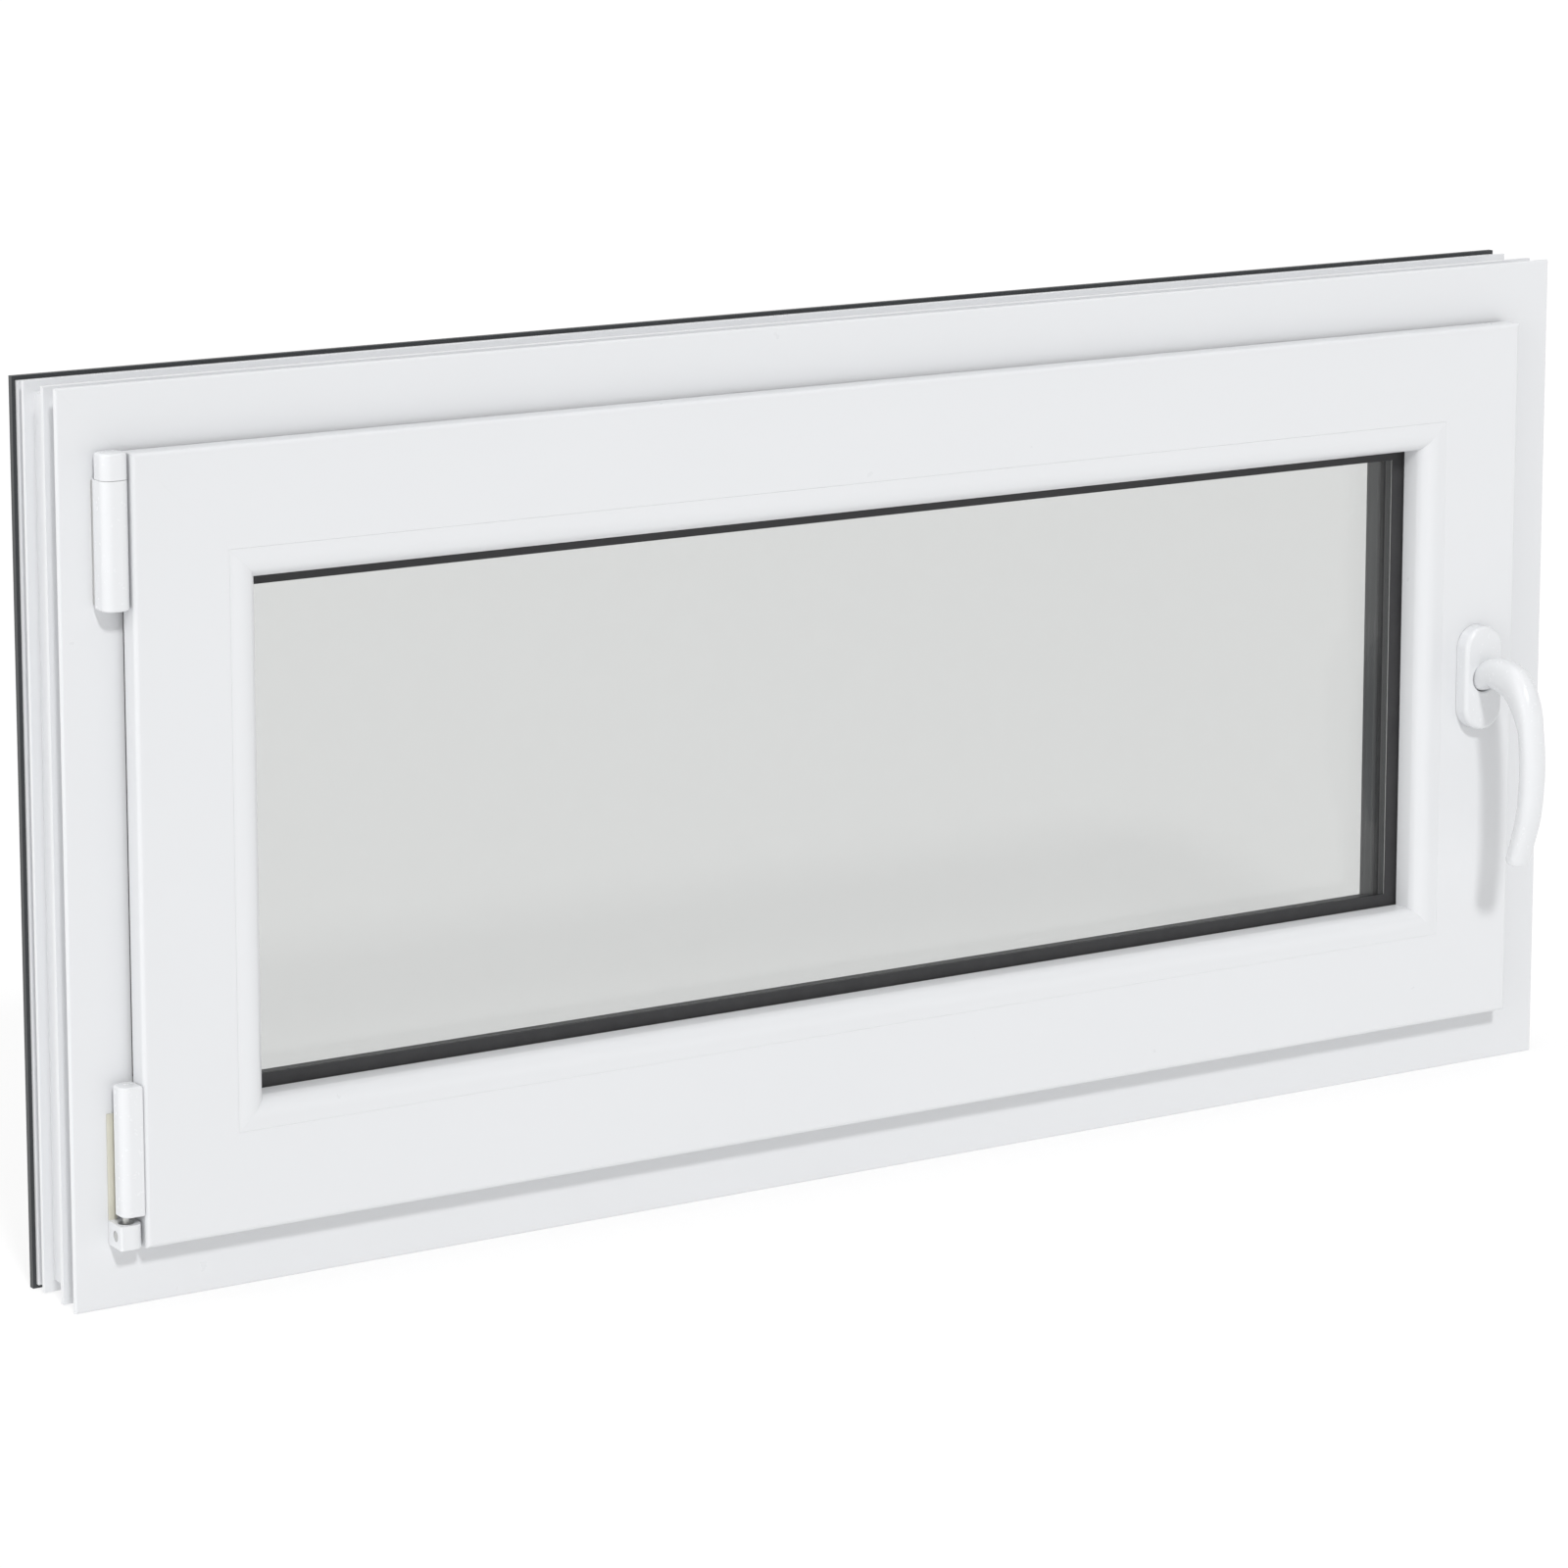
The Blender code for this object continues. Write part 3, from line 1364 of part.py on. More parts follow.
NECK_SHARE = 0.18  # share of the lever's path that is the straight neck
ELBOW_SHARE = 0.5  # share over which the bar swells at its bend


def make_lever():
    """The lever: an oval bar swept out of the rosette and down in a bow."""
    profile = bpy.data.curves.new("grip_section", "CURVE")
    profile.dimensions = "2D"
    line = profile.splines.new("POLY")
    steps = 20
    line.points.add(steps - 1)
    for index, point in enumerate(line.points):
        angle = 2 * math.pi * index / steps
        point.co = (
            GRIP_HALF_WIDTH * math.cos(angle),
            GRIP_HALF_THICK * math.sin(angle),
            0,
            1,
        )
    line.use_cyclic_u = True
    section = bpy.data.objects.new("grip_section", profile)
    CUTTERS.objects.link(section)
    section.hide_render = True
    section.display_type = "WIRE"

    curve = bpy.data.curves.new("handle_lever", "CURVE")
    curve.dimensions = "3D"
    curve.twist_mode = "MINIMUM"
    curve.bevel_mode = "OBJECT"
    curve.bevel_object = section
    curve.use_fill_caps = True
    path = smooth_path(grip_path(), 3)
    spline = curve.splines.new("POLY")
    spline.points.add(len(path) - 1)
    for index, (point, (proud, rise)) in enumerate(zip(spline.points, path)):
        point.co = (0, SASH_FRONT - proud, rise, 1)
        share = index / (len(path) - 1)
        elbow = min(max((share - NECK_SHARE) / ELBOW_SHARE, 0), 1)
        point.radius = 0.92 + 0.08 * math.sin(math.pi * share) + 0.2 * math.sin(math.pi * elbow)
    obj = bpy.data.objects.new("lever_curve", curve)
    bpy.context.scene.collection.objects.link(obj)
    graph = bpy.context.evaluated_depsgraph_get()
    mesh = bpy.data.meshes.new_from_object(obj.evaluated_get(graph))
    bpy.data.objects.remove(obj)
    mesh.name = "handle_lever"
    weld(mesh)
    mesh.shade_smooth()
    place = at(HANDLE[0], 0, HANDLE[1])
    add("handle_lever", mesh, WHITE_LACQUER, Matrix.Translation(place))


def make_handle():
    make_rosette()
    make_lever()
    across_wall(
        "handle_spindle",
        [square(SPINDLE)],
        SASH_FRONT - BASE_THICK - FIT,
        PLATE_AXIS + 5.4 * MM,
        ZINC_STEEL,
    )


make_frame()
sash = make_sash()
make_sash_seal()
make_glazing()
make_stay_bearing()
make_stay_arm()
make_corner_hinge()
make_keeps()
make_lock_rod()
make_head_rod()
make_corner_drive()
make_gearbox(sash)
make_handle()
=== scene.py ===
"""Looks of the tilt-and-turn window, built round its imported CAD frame.

Axes: +X towards the handle side, +Y towards the outside, +Z up, in metres. Sections are
given as (d, t): d runs inwards from the frame's outer edge and t from the frame's room face
towards the outside.
"""

import json
import math

import bmesh
import bpy
import numpy as np
from bpy.props import FloatProperty, FloatVectorProperty, PointerProperty
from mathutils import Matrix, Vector


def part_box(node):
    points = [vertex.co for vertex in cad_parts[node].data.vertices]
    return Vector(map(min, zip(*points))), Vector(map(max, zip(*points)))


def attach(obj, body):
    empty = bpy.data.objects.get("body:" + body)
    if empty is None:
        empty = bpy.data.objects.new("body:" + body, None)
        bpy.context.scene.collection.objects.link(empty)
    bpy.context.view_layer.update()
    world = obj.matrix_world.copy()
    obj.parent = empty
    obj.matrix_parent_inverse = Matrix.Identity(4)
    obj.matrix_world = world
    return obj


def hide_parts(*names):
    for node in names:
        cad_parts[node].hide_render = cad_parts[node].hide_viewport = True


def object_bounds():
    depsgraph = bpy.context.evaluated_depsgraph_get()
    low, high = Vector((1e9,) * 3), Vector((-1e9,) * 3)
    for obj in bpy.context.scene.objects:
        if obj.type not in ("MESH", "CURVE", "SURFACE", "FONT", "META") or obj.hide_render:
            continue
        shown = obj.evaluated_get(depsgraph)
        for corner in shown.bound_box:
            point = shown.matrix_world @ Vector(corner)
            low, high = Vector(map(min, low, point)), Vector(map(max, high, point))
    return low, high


bl_info = {
    "name": "Tilt-and-Turn Window",
    "version": (1, 0, 0),
    "blender": (4, 5, 0),
    "location": "View3D > Sidebar > Window",
    "description": "White plastic window with a dark outer skin, side hinges and a lever handle",
    "category": "Add Mesh",
}

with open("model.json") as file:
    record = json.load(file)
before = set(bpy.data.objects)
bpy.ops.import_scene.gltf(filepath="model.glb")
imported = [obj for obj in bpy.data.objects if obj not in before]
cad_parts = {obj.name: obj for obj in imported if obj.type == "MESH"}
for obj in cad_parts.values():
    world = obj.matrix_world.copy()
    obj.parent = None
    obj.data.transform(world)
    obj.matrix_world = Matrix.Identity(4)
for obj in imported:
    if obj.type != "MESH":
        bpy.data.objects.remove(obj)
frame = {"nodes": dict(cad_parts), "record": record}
CAD_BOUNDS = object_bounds()
MM = 0.001

SHELL_LOW, SHELL_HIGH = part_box("frame_outer_shell")
HEAD_LOW, HEAD_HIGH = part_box("frame_head")
STILE_LOW, STILE_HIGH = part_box("sash_hinge_stile")
BEAD_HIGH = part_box("glazing_bead_hinge")[1]
ROSETTE_LOW, ROSETTE_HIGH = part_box("handle_rosette")
SPACER_LOW, SPACER_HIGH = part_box("spacer_bar")
BODIES = {
    node: body
    for body, nodes in frame["record"]["behaviour"]["bodies"].items()
    for node in nodes
}
SLOTS = {entry["node"]: entry["material_slot"] for entry in frame["record"]["subparts"]}
JOINTS = {joint["name"]: joint for joint in frame["record"]["behaviour"]["joints"]}

HALF_WIDTH = (SHELL_HIGH.x - SHELL_LOW.x) / 2
HALF_HEIGHT = (SHELL_HIGH.z - SHELL_LOW.z) / 2
MIDDLE_HEIGHT = (SHELL_HIGH.z + SHELL_LOW.z) / 2
ROOM_FACE = HEAD_LOW.y
HANDLE_AXIS = Vector(JOINTS["handle_turn"]["pos_m"])
SASH_FACE = STILE_LOW.y
HINGE_AXIS = Vector(JOINTS["sash_turn"]["pos_m"])
BEAD_START = 109 * MM
BALL_TO_BLOCK_TOP = 9.3 * MM
BLOCK_TOP = JOINTS["sash_tilt"]["pos_m"][2] + BALL_TO_BLOCK_TOP


class SectionSizes(bpy.types.PropertyGroup):
    """Sizes of the plastic sections, which the CAD part shares."""

    edge_round: FloatProperty(
        name="Edge round", description="Rounding of the sections' room-side edges",
        default=3 * MM, unit="LENGTH",
    )
    flange_round: FloatProperty(
        name="Flange round", description="Rounding of the frame's outer edge",
        default=1.6 * MM, unit="LENGTH",
    )
    mitre_gap: FloatProperty(
        name="Mitre gap", description="Half of the fine joint between two mitred lengths",
        default=0.012 * MM, unit="LENGTH",
    )
    bead_crest: FloatProperty(
        name="Bead crest", description="How far the glazing bead stands in front of the sash",
        default=0.6 * MM, unit="LENGTH",
    )


class HandleSizes(bpy.types.PropertyGroup):
    """Sizes of the lever handle."""

    grip_width: FloatProperty(
        name="Grip width", description="Width of the lever across the window",
        default=20 * MM, unit="LENGTH",
    )
    grip_thickness: FloatProperty(
        name="Grip thickness", description="Thickness of the lever from front to back",
        default=15.2 * MM, unit="LENGTH",
    )
    tip_round: FloatProperty(
        name="Tip round", description="Rounding of the lever's end",
        default=3.2 * MM, unit="LENGTH",
    )
    rosette_round: FloatProperty(
        name="Rosette round", description="Rounding of the rosette's front edge",
        default=3.4 * MM, unit="LENGTH",
    )


class WindowColours(bpy.types.PropertyGroup):
    """Colours that a user would change."""

    plastic: FloatVectorProperty(
        name="Plastic", description="White of the frame, sash and beads", subtype="COLOR",
        size=4, min=0, max=1, default=(0.706, 0.715, 0.730, 1),
    )
    lacquer: FloatVectorProperty(
        name="Lacquer", description="White of the handle and hinge covers", subtype="COLOR",
        size=4, min=0, max=1, default=(0.722, 0.732, 0.747, 1),
    )
    skin: FloatVectorProperty(
        name="Outer skin", description="Dark grey of the outside", subtype="COLOR",
        size=4, min=0, max=1, default=(0.034, 0.037, 0.040, 1),
    )
    rubber: FloatVectorProperty(
        name="Seals", description="Black of the seals", subtype="COLOR",
        size=4, min=0, max=1, default=(0.020, 0.020, 0.022, 1),
    )
    glass: FloatVectorProperty(
        name="Glass", description="Tint of one glass surface", subtype="COLOR",
        size=4, min=0, max=1, default=(0.896, 0.899, 0.897, 1),
    )
    floor: FloatVectorProperty(
        name="Floor", description="Pale studio floor", subtype="COLOR",
        size=4, min=0, max=1, default=(0.93, 0.93, 0.93, 1),
    )


# Shader building


class Wire:
    """A socket in a node tree. Arithmetic on it adds Math nodes."""

    def __init__(self, paint, socket):
        self.paint = paint
        self.socket = socket

    def _math(self, operation, *values):
        return self.paint.add("ShaderNodeMath", {"operation": operation}, dict(enumerate(values)))

    def __add__(self, other):
        return self._math("ADD", self, other)

    def __mul__(self, other):
        return self._math("MULTIPLY", self, other)

    def __sub__(self, other):
        return self._math("SUBTRACT", self, other)

    def __rsub__(self, other):
        return self._math("SUBTRACT", other, self)

    def __gt__(self, other):
        return self._math("GREATER_THAN", self, other)

    def __lt__(self, other):
        return self._math("LESS_THAN", self, other)

    def power(self, exponent):
        return self._math("POWER", self, exponent)

    def size(self):
        return self._math("ABSOLUTE", self)

    def repeat(self, period):
        """Distance from the nearest whole multiple of the period."""
        return self._math("PINGPONG", self, period / 2)


class Paint:
    """One node material with a Principled shader."""

    def __init__(self, name, **sockets):
        self.material = bpy.data.materials.new(name)
        self.material.use_nodes = True
        self.tree = self.material.node_tree
        self.tree.nodes.clear()
        self.output = self.tree.nodes.new("ShaderNodeOutputMaterial")
        self.shader = self.tree.nodes.new("ShaderNodeBsdfPrincipled")
        self.tree.links.new(self.shader.outputs["BSDF"], self.output.inputs["Surface"])
        for key, value in sockets.items():
            self.set(key.replace("_", " "), value)

    def set(self, name, value):
        self._put(self.shader.inputs[name], value)

    def _put(self, socket, value):
        if isinstance(value, Wire):
            self.tree.links.new(value.socket, socket)
        else:
            socket.default_value = value

    def add(self, kind, settings=None, inputs=None, output=0):
        """Adds a node: its settings first, then the values or links of its sockets."""
        node = self.tree.nodes.new(kind)
        for key, value in (settings or {}).items():
            setattr(node, key, value)
        for key, value in (inputs or {}).items():
            self._put(node.inputs[key], value)
        return Wire(self, node.outputs[output])

    def place(self):
        """Object coordinates."""
        return self.add("ShaderNodeTexCoord", output="Object")

    def axes(self):
        split = self.add("ShaderNodeSeparateXYZ", inputs={0: self.place()})
        node = split.socket.node
        return [Wire(self, node.outputs[index]) for index in range(3)]

    def stretched(self, scale):
        return self.add(
            "ShaderNodeMapping", {"vector_type": "POINT"}, {0: self.place(), "Scale": scale}
        )

    def noise(self, scale, detail=3.0, roughness=0.5, vector=None):
        return self.add(
            "ShaderNodeTexNoise",
            {"noise_dimensions": "3D"},
            {
                "Vector": vector or self.place(),
                "Scale": scale,
                "Detail": detail,
                "Roughness": roughness,
            },
        )

    def mix(self, share, first, second):
        """Colour between two colours."""
        return self.add(
            "ShaderNodeMix",
            {"data_type": "RGBA"},
            {0: share, 6: first, 7: second},
            output=2,
        )

    def bump(self, height, distance, strength=1.0):
        wire = self.add(
            "ShaderNodeBump", inputs={"Strength": strength, "Distance": distance, "Height": height}
        )
        self.set("Normal", wire)


def darker(colour, share):
    return (*(channel * share for channel in colour[:3]), 1)


def plastic_paint(name, colour, gloss=0.30):
    """White plastic: faint mottling, fine surface ripple and a soft sheen."""
    paint = Paint(name, IOR=1.46, Coat_Roughness=0.12)
    cloud = paint.noise(9.0, 4.0)
    paint.set("Base Color", paint.mix(cloud, darker(colour, 0.985), colour))
    paint.set("Roughness", paint.noise(60.0, 3.0) * 0.10 + (gloss - 0.05))
    paint.set("Coat Weight", 0.15)
    paint.bump(paint.noise(420.0, 2.0), 0.00001, 0.3)
    return paint.material


def lacquer_paint(name, colour):
    """Powder coat on metal: an even white with a light orange-peel ripple."""
    paint = Paint(name, IOR=1.5, Coat_Roughness=0.08)
    paint.set("Base Color", paint.mix(paint.noise(30.0), darker(colour, 0.98), colour))
    paint.set("Roughness", paint.noise(300.0, 2.0) * 0.08 + 0.22)
    paint.set("Coat Weight", 0.25)
    paint.bump(paint.noise(900.0, 2.0), 0.00003, 0.6)
    return paint.material


def skin_paint(name, colour):
    """Dark outer skin with a fine pressed grain."""
    paint = Paint(name, IOR=1.46)
    grain = paint.noise(1500.0, 4.0, 0.6)
    broad = paint.noise(14.0, 3.0)
    paint.set("Base Color", paint.mix(broad, darker(colour, 0.86), darker(colour, 1.10)))
    paint.set("Roughness", grain * 0.16 + 0.38)
    paint.bump(grain, 0.00006, 0.7)
    return paint.material


def rubber_paint(name, colour):
    """Matt sealing rubber with a dusty bloom."""
    paint = Paint(name, IOR=1.5)
    dust = paint.noise(90.0, 5.0, 0.65)
    paint.set("Base Color", paint.mix(dust, colour, (0.045, 0.045, 0.047, 1)))
    paint.set("Roughness", dust * 0.2 + 0.62)
    paint.bump(paint.noise(1200.0, 3.0), 0.00005, 0.5)
    return paint.material


def zinc_paint(name):
    """Zinc-plated steel: rolled streaks and a slightly uneven, warm-grey plating."""
    paint = Paint(name, Metallic=1.0)
    streak = paint.noise(160.0, 3.0, 0.6, paint.stretched((0.15, 3.0, 0.15)))
    cloud = paint.noise(45.0, 4.0)
    paint.set(
        "Base Color",
        paint.mix(cloud, (0.50, 0.50, 0.48, 1), (0.68, 0.68, 0.67, 1)),
    )
    paint.set("Roughness", streak * 0.22 + 0.26)
    paint.bump(streak, 0.00004, 0.5)
    return paint.material


def galvanised_paint(name):
    """Galvanised core steel with a spangled surface."""
    paint = Paint(name, Metallic=1.0)
    spangle = paint.add(
        "ShaderNodeTexVoronoi", {"feature": "F1"}, {"Vector": paint.place(), "Scale": 140.0},
        output="Color",
    )
    tone = paint.add("ShaderNodeSeparateColor", inputs={0: spangle})
    paint.set("Base Color", paint.mix(tone, (0.42, 0.44, 0.46, 1), (0.62, 0.64, 0.66, 1)))
    paint.set("Roughness", tone * 0.2 + 0.38)
    return paint.material


def packer_paint(name):
    """Moulded glazing packer with fine ribs, painted darker in the grooves between them as painted
    shade.
    """
    paint = Paint(name, IOR=1.46)
    x = paint.axes()[0]
    rib_and_groove_shade = x.repeat(2.4 * MM) * (1 / (1.2 * MM))
    # Painted shade: the colour follows the rib height, darker in the grooves and paler on the crests.
    paint.set("Base Color", paint.mix(rib_and_groove_shade, (0.05, 0.19, 0.08, 1), (0.09, 0.30, 0.14, 1)))
    paint.set("Roughness", paint.noise(80.0) * 0.15 + 0.45)
    paint.bump(rib_and_groove_shade, 0.0002, 0.6)
    return paint.material


def spacer_paint(name):
    """Dark spacer bar: a paler rolled line and a row of breather holes along its middle, the holes
    painted near-black as painted shade inside them.
    """
    paint = Paint(name, IOR=1.5)
    x, y, z = paint.axes()
    middle = (SPACER_LOW.y + SPACER_HIGH.y) / 2
    bar_height = 8 * MM
    line_half_width = 1.1 * MM
    hole_half_width = 0.35 * MM
    hole_half_length = 0.7 * MM
    hole_spacing = 4 * MM
    seam_from_middle = 6 * MM
    side_run = x.size() > (SPACER_HIGH.x - bar_height)
    along = side_run * z + (1 - side_run) * x
    off = (y - middle).size()
    line = off < line_half_width
    hole_and_shade = (off < hole_half_width) * (along.repeat(hole_spacing) < hole_half_length)
    edge = off > seam_from_middle
    base = paint.mix(line, (0.060, 0.061, 0.063, 1), (0.85, 0.85, 0.85, 1))
    base = paint.mix(edge, base, (0.075, 0.075, 0.075, 1))
    # Painted shade: the breather holes are painted near-black, standing in for the shade inside them.
    paint.set("Base Color", paint.mix(hole_and_shade, base, (0.01, 0.01, 0.01, 1)))
    paint.set("Roughness", paint.noise(200.0) * 0.15 + 0.42)
    paint.bump(line - hole_and_shade * 2, 0.0002, 0.6)
    return paint.material


def bearing_paint(name, colour):
    """The corner bearing: a white lacquered block whose back plate above it is bare zinc."""
    paint = Paint(name, IOR=1.5)
    z = paint.axes()[2]
    bare = z > BLOCK_TOP
    zinc = paint.mix(paint.noise(70.0), (0.66, 0.64, 0.54, 1), (0.78, 0.76, 0.66, 1))
    white = paint.mix(paint.noise(30.0), darker(colour, 0.98), colour)
    paint.set("Base Color", paint.mix(bare, white, zinc))
    paint.set("Roughness", paint.noise(200.0, 2.0) * 0.12 + 0.24 + bare * 0.12)
    paint.set("Metallic", bare * 0.35)
    paint.bump(paint.noise(900.0, 2.0), 0.00003, 0.5)
    return paint.material


def glass_paint(name, tint):
    """Clear glass: tinted see-through, with a mirror that grows towards grazing angles."""
    paint = Paint(name)
    nodes = paint.tree.nodes
    nodes.remove(paint.shader)
    clear = nodes.new("ShaderNodeBsdfTransparent")
    clear.inputs["Color"].default_value = tint
    mirror = nodes.new("ShaderNodeBsdfGlossy")
    mirror.inputs["Color"].default_value = (1, 1, 1, 1)
    mirror.inputs["Roughness"].default_value = 0.01
    facing = paint.add("ShaderNodeLayerWeight", inputs={"Blend": 0.5}, output="Facing")
    share = facing.power(5.0) * 0.90 + 0.035
    blend = nodes.new("ShaderNodeMixShader")
    paint.tree.links.new(share.socket, blend.inputs[0])
    paint.tree.links.new(clear.outputs[0], blend.inputs[1])
    paint.tree.links.new(mirror.outputs[0], blend.inputs[2])
    paint.tree.links.new(blend.outputs[0], paint.output.inputs["Surface"])
    return paint.material


def floor_paint(name, colour):
    """Pale studio floor, lit a little from within so that it stays an even white."""
    paint = Paint(name, IOR=1.3, Emission_Color=colour, Emission_Strength=0.79)
    paint.set("Base Color", paint.mix(paint.noise(2.0), darker(colour, 0.27), darker(colour, 0.28)))
    paint.set("Roughness", 0.9)
    return paint.material


_paints = {}


def finish(slot):
    """The material of a record slot, made once."""
    colours = bpy.context.scene.window_colours
    makers = {
        "pvc_white": lambda: plastic_paint("white_plastic", tuple(colours.plastic)),
        "lacquer_white": lambda: lacquer_paint("white_lacquer", tuple(colours.lacquer)),
        "shell_anthracite": lambda: skin_paint("outer_skin", tuple(colours.skin)),
        "seal_black": lambda: rubber_paint("sealing_rubber", tuple(colours.rubber)),
        "steel_zinc": lambda: zinc_paint("zinc_plating"),
        "steel_galvanised": lambda: galvanised_paint("galvanised_steel"),
        "glass_clear": lambda: glass_paint("clear_glass", tuple(colours.glass)),
        "spacer_dark": lambda: spacer_paint("spacer_bar"),
        "packer_green": lambda: packer_paint("glazing_packer"),
    }
    if slot not in _paints:
        _paints[slot] = makers[slot]()
    return _paints[slot]


# Surfaces


def show(name, points, faces, node, smooth=30):
    """Puts a closed surface in the scene in place of a CAD node, with that node's finish."""
    mesh = bpy.data.meshes.new(name)
    mesh.from_pydata(np.asarray(points).reshape(-1, 3).tolist(), [], faces)
    shape = bmesh.new()
    shape.from_mesh(mesh)
    bmesh.ops.recalc_face_normals(shape, faces=shape.faces)
    shape.to_mesh(mesh)
    shape.free()
    mesh.shade_smooth()
    mesh.set_sharp_from_angle(angle=math.radians(smooth))
    obj = bpy.data.objects.new(name, mesh)
    bpy.context.scene.collection.objects.link(obj)
    mesh.materials.append(finish(SLOTS[node]))
    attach(obj, BODIES[node])
    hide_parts(node)
    return obj


def grid_faces(rows, columns, wrap_rows=False):
    """Quads of a grid whose columns close on themselves, and its rows too if asked."""
    row = np.arange(rows if wrap_rows else rows - 1)[:, None]
    column = np.arange(columns)[None, :]
    after = (column + 1) % columns
    below = (row + 1) % rows
    corners = np.stack(
        [
            row * columns + column,
            row * columns + after,
            below * columns + after,
            below * columns + column,
        ],
        axis=-1,
    )
    return corners.reshape(-1, 4).tolist()


def section(corners, steps=8):
    """An outline of (d, t, radius) corners with each corner replaced by an arc.

    The arc's centre lies on the corner's bisector, at the radius divided by the sine of half the
    corner's angle. One more point just outside each end of the arc keeps the flats flat when the
    surface is shaded smooth.
    """
    places = np.array([corner[:2] for corner in corners], float)
    result = []
    for index, corner in enumerate(corners):
        radius = corner[2] if len(corner) > 2 else 0.0
        here = places[index]
        if not radius:
            result.append(here[None])
            continue
        back = places[index - 1] - here
        ahead = places[(index + 1) % len(places)] - here
        back /= np.linalg.norm(back)
        ahead /= np.linalg.norm(ahead)
        half = math.acos(float(np.clip(back @ ahead, -1, 1))) / 2
        reach = radius / math.tan(half)
        centre = here + (back + ahead) / np.linalg.norm(back + ahead) * radius / math.sin(half)
        start = (here + back * reach - centre) / radius
        end = (here + ahead * reach - centre) / radius
        sweep = math.pi - 2 * half
        share = np.linspace(0, 1, steps + 1)[:, None]
        arc = (
            np.sin((1 - share) * sweep) * start + np.sin(share * sweep) * end
        ) / math.sin(sweep)
        hold = 0.12 * MM
        result.append((here + back * (reach + hold))[None])
        result.append(centre + radius * arc)
        result.append((here + ahead * (reach + hold))[None])
    return np.concatenate(result)


def side_points(outline, side, gap):
    """World points of an outline's two mitred ends on one side of the window.

    Each point (d, t) sits d inside that side's outer edge, and its ends lie at half the
    side's length less d, so both ends are cut at 45 degrees.
    """
    d, t = outline[:, 0], outline[:, 1]
    y = ROOM_FACE + t
    ends = []
    for sign in (-1, 1):
        if side in ("hinge", "lock"):
            x = (d - HALF_WIDTH) * (1 if side == "hinge" else -1)
            z = MIDDLE_HEIGHT + sign * (HALF_HEIGHT - d - gap)
        else:
            x = sign * (HALF_WIDTH - d - gap)
            z = MIDDLE_HEIGHT + (d - HALF_HEIGHT) * (1 if side == "sill" else -1)
        ends.append(np.stack([x + 0 * d, y, z + 0 * d], axis=1))
    return np.stack(ends)


def length(name, outline, side, node):
    """A closed mitred length: the outline's two ends joined by quads and capped."""
    gap = bpy.context.scene.section_sizes.mitre_gap
    points = side_points(outline, side, gap)
    count = len(outline)
    faces = grid_faces(2, count)
    faces += [list(range(count)), list(range(count, 2 * count))]
    return show(name, points, faces, node)


def soft_curve(stops, per_span):
    """Smooth line through the stops, sampled per_span times between each two.

    From stop b to stop c, with a before and d after them, the line is the cubic that leaves b
    with half the step from a to c as its slope and reaches c with half the step from b to d.
    """
    stops = np.asarray(stops, float)
    padded = np.concatenate([[2 * stops[0] - stops[1]], stops, [2 * stops[-1] - stops[-2]]])
    a, b, c, d = (padded[k : k + len(stops) - 1, None] for k in range(4))
    s = (np.arange(per_span) / per_span)[None, :, None]
    line = 0.5 * (
        2 * b + (c - a) * s + (2 * a - 5 * b + 4 * c - d) * s**2 + (3 * b - a - 3 * c + d) * s**3
    )
    return np.concatenate([line.reshape(-1, stops.shape[1]), stops[-1:]])


def frame_section():
    """The frame's section: room wall, rebate, stop, and three ribs with open channels."""
    sizes = bpy.context.scene.section_sizes
    face = 50 * MM
    flange = 3 * MM
    stop_front, stop_edge = 53 * MM, 69.7 * MM
    shell_front, shell_thick = 61.5 * MM, 2.7 * MM
    channel = 8.7 * MM
    rib_end = 1 * MM
    tip, root = 0.4 * MM, 0.5 * MM
    back = HEAD_HIGH.y - ROOM_FACE
    ribs = []
    for rib_back, rib_front in ((52.5 * MM, 49.4 * MM), (24 * MM, 20 * MM)):
        ribs += [
            (channel, rib_back, root),
            (rib_end, rib_back, tip),
            (rib_end, rib_front, tip),
            (channel, rib_front, root),
        ]
    return section(
        [
            (0, flange, tip),
            (0, 0, sizes.flange_round),
            (face, 0, sizes.edge_round),
            (face, stop_front),
            (stop_edge, stop_front),
            (stop_edge, back),
            (shell_thick, back),
            (shell_thick, shell_front, 0.3 * MM),
            (channel, shell_front),
            *ribs,
            (channel, flange, root),
        ]
    )


def sash_section():
    """The sash's section: overlapping lip, fittings groove, glazing rebate and outer stop."""
    front = SASH_FACE - ROOM_FACE
    back = STILE_HIGH.y - ROOM_FACE
    lip, lip_back = 42 * MM, -4 * MM
    rebate = 34 * MM
    outer_stop = 125.8 * MM
    side = 62 * MM
    shell_side, shell_front = 64.7 * MM, 35.7 * MM
    groove_mouth = 65.2 * MM
    groove_floor = 73 * MM
    tip = 0.3 * MM
    return section(
        [
            (lip, lip_back, 0.5 * MM),
            (lip, front, bpy.context.scene.section_sizes.edge_round),
            (BEAD_START, front, 0.25 * MM),
            (BEAD_START, rebate),
            (outer_stop, rebate),
            (outer_stop, back),
            (shell_side, back),
            (shell_side, shell_front),
            (side, shell_front),
            (side, 17 * MM, tip),
            (groove_mouth, 17 * MM),
            (groove_mouth, 15 * MM),
            (groove_floor, 15 * MM),
            (groove_floor, 3 * MM),
            (groove_mouth, 3 * MM),
            (groove_mouth, 1 * MM),
            (side, 1 * MM, tip),
            (side, lip_back),
        ]
    )


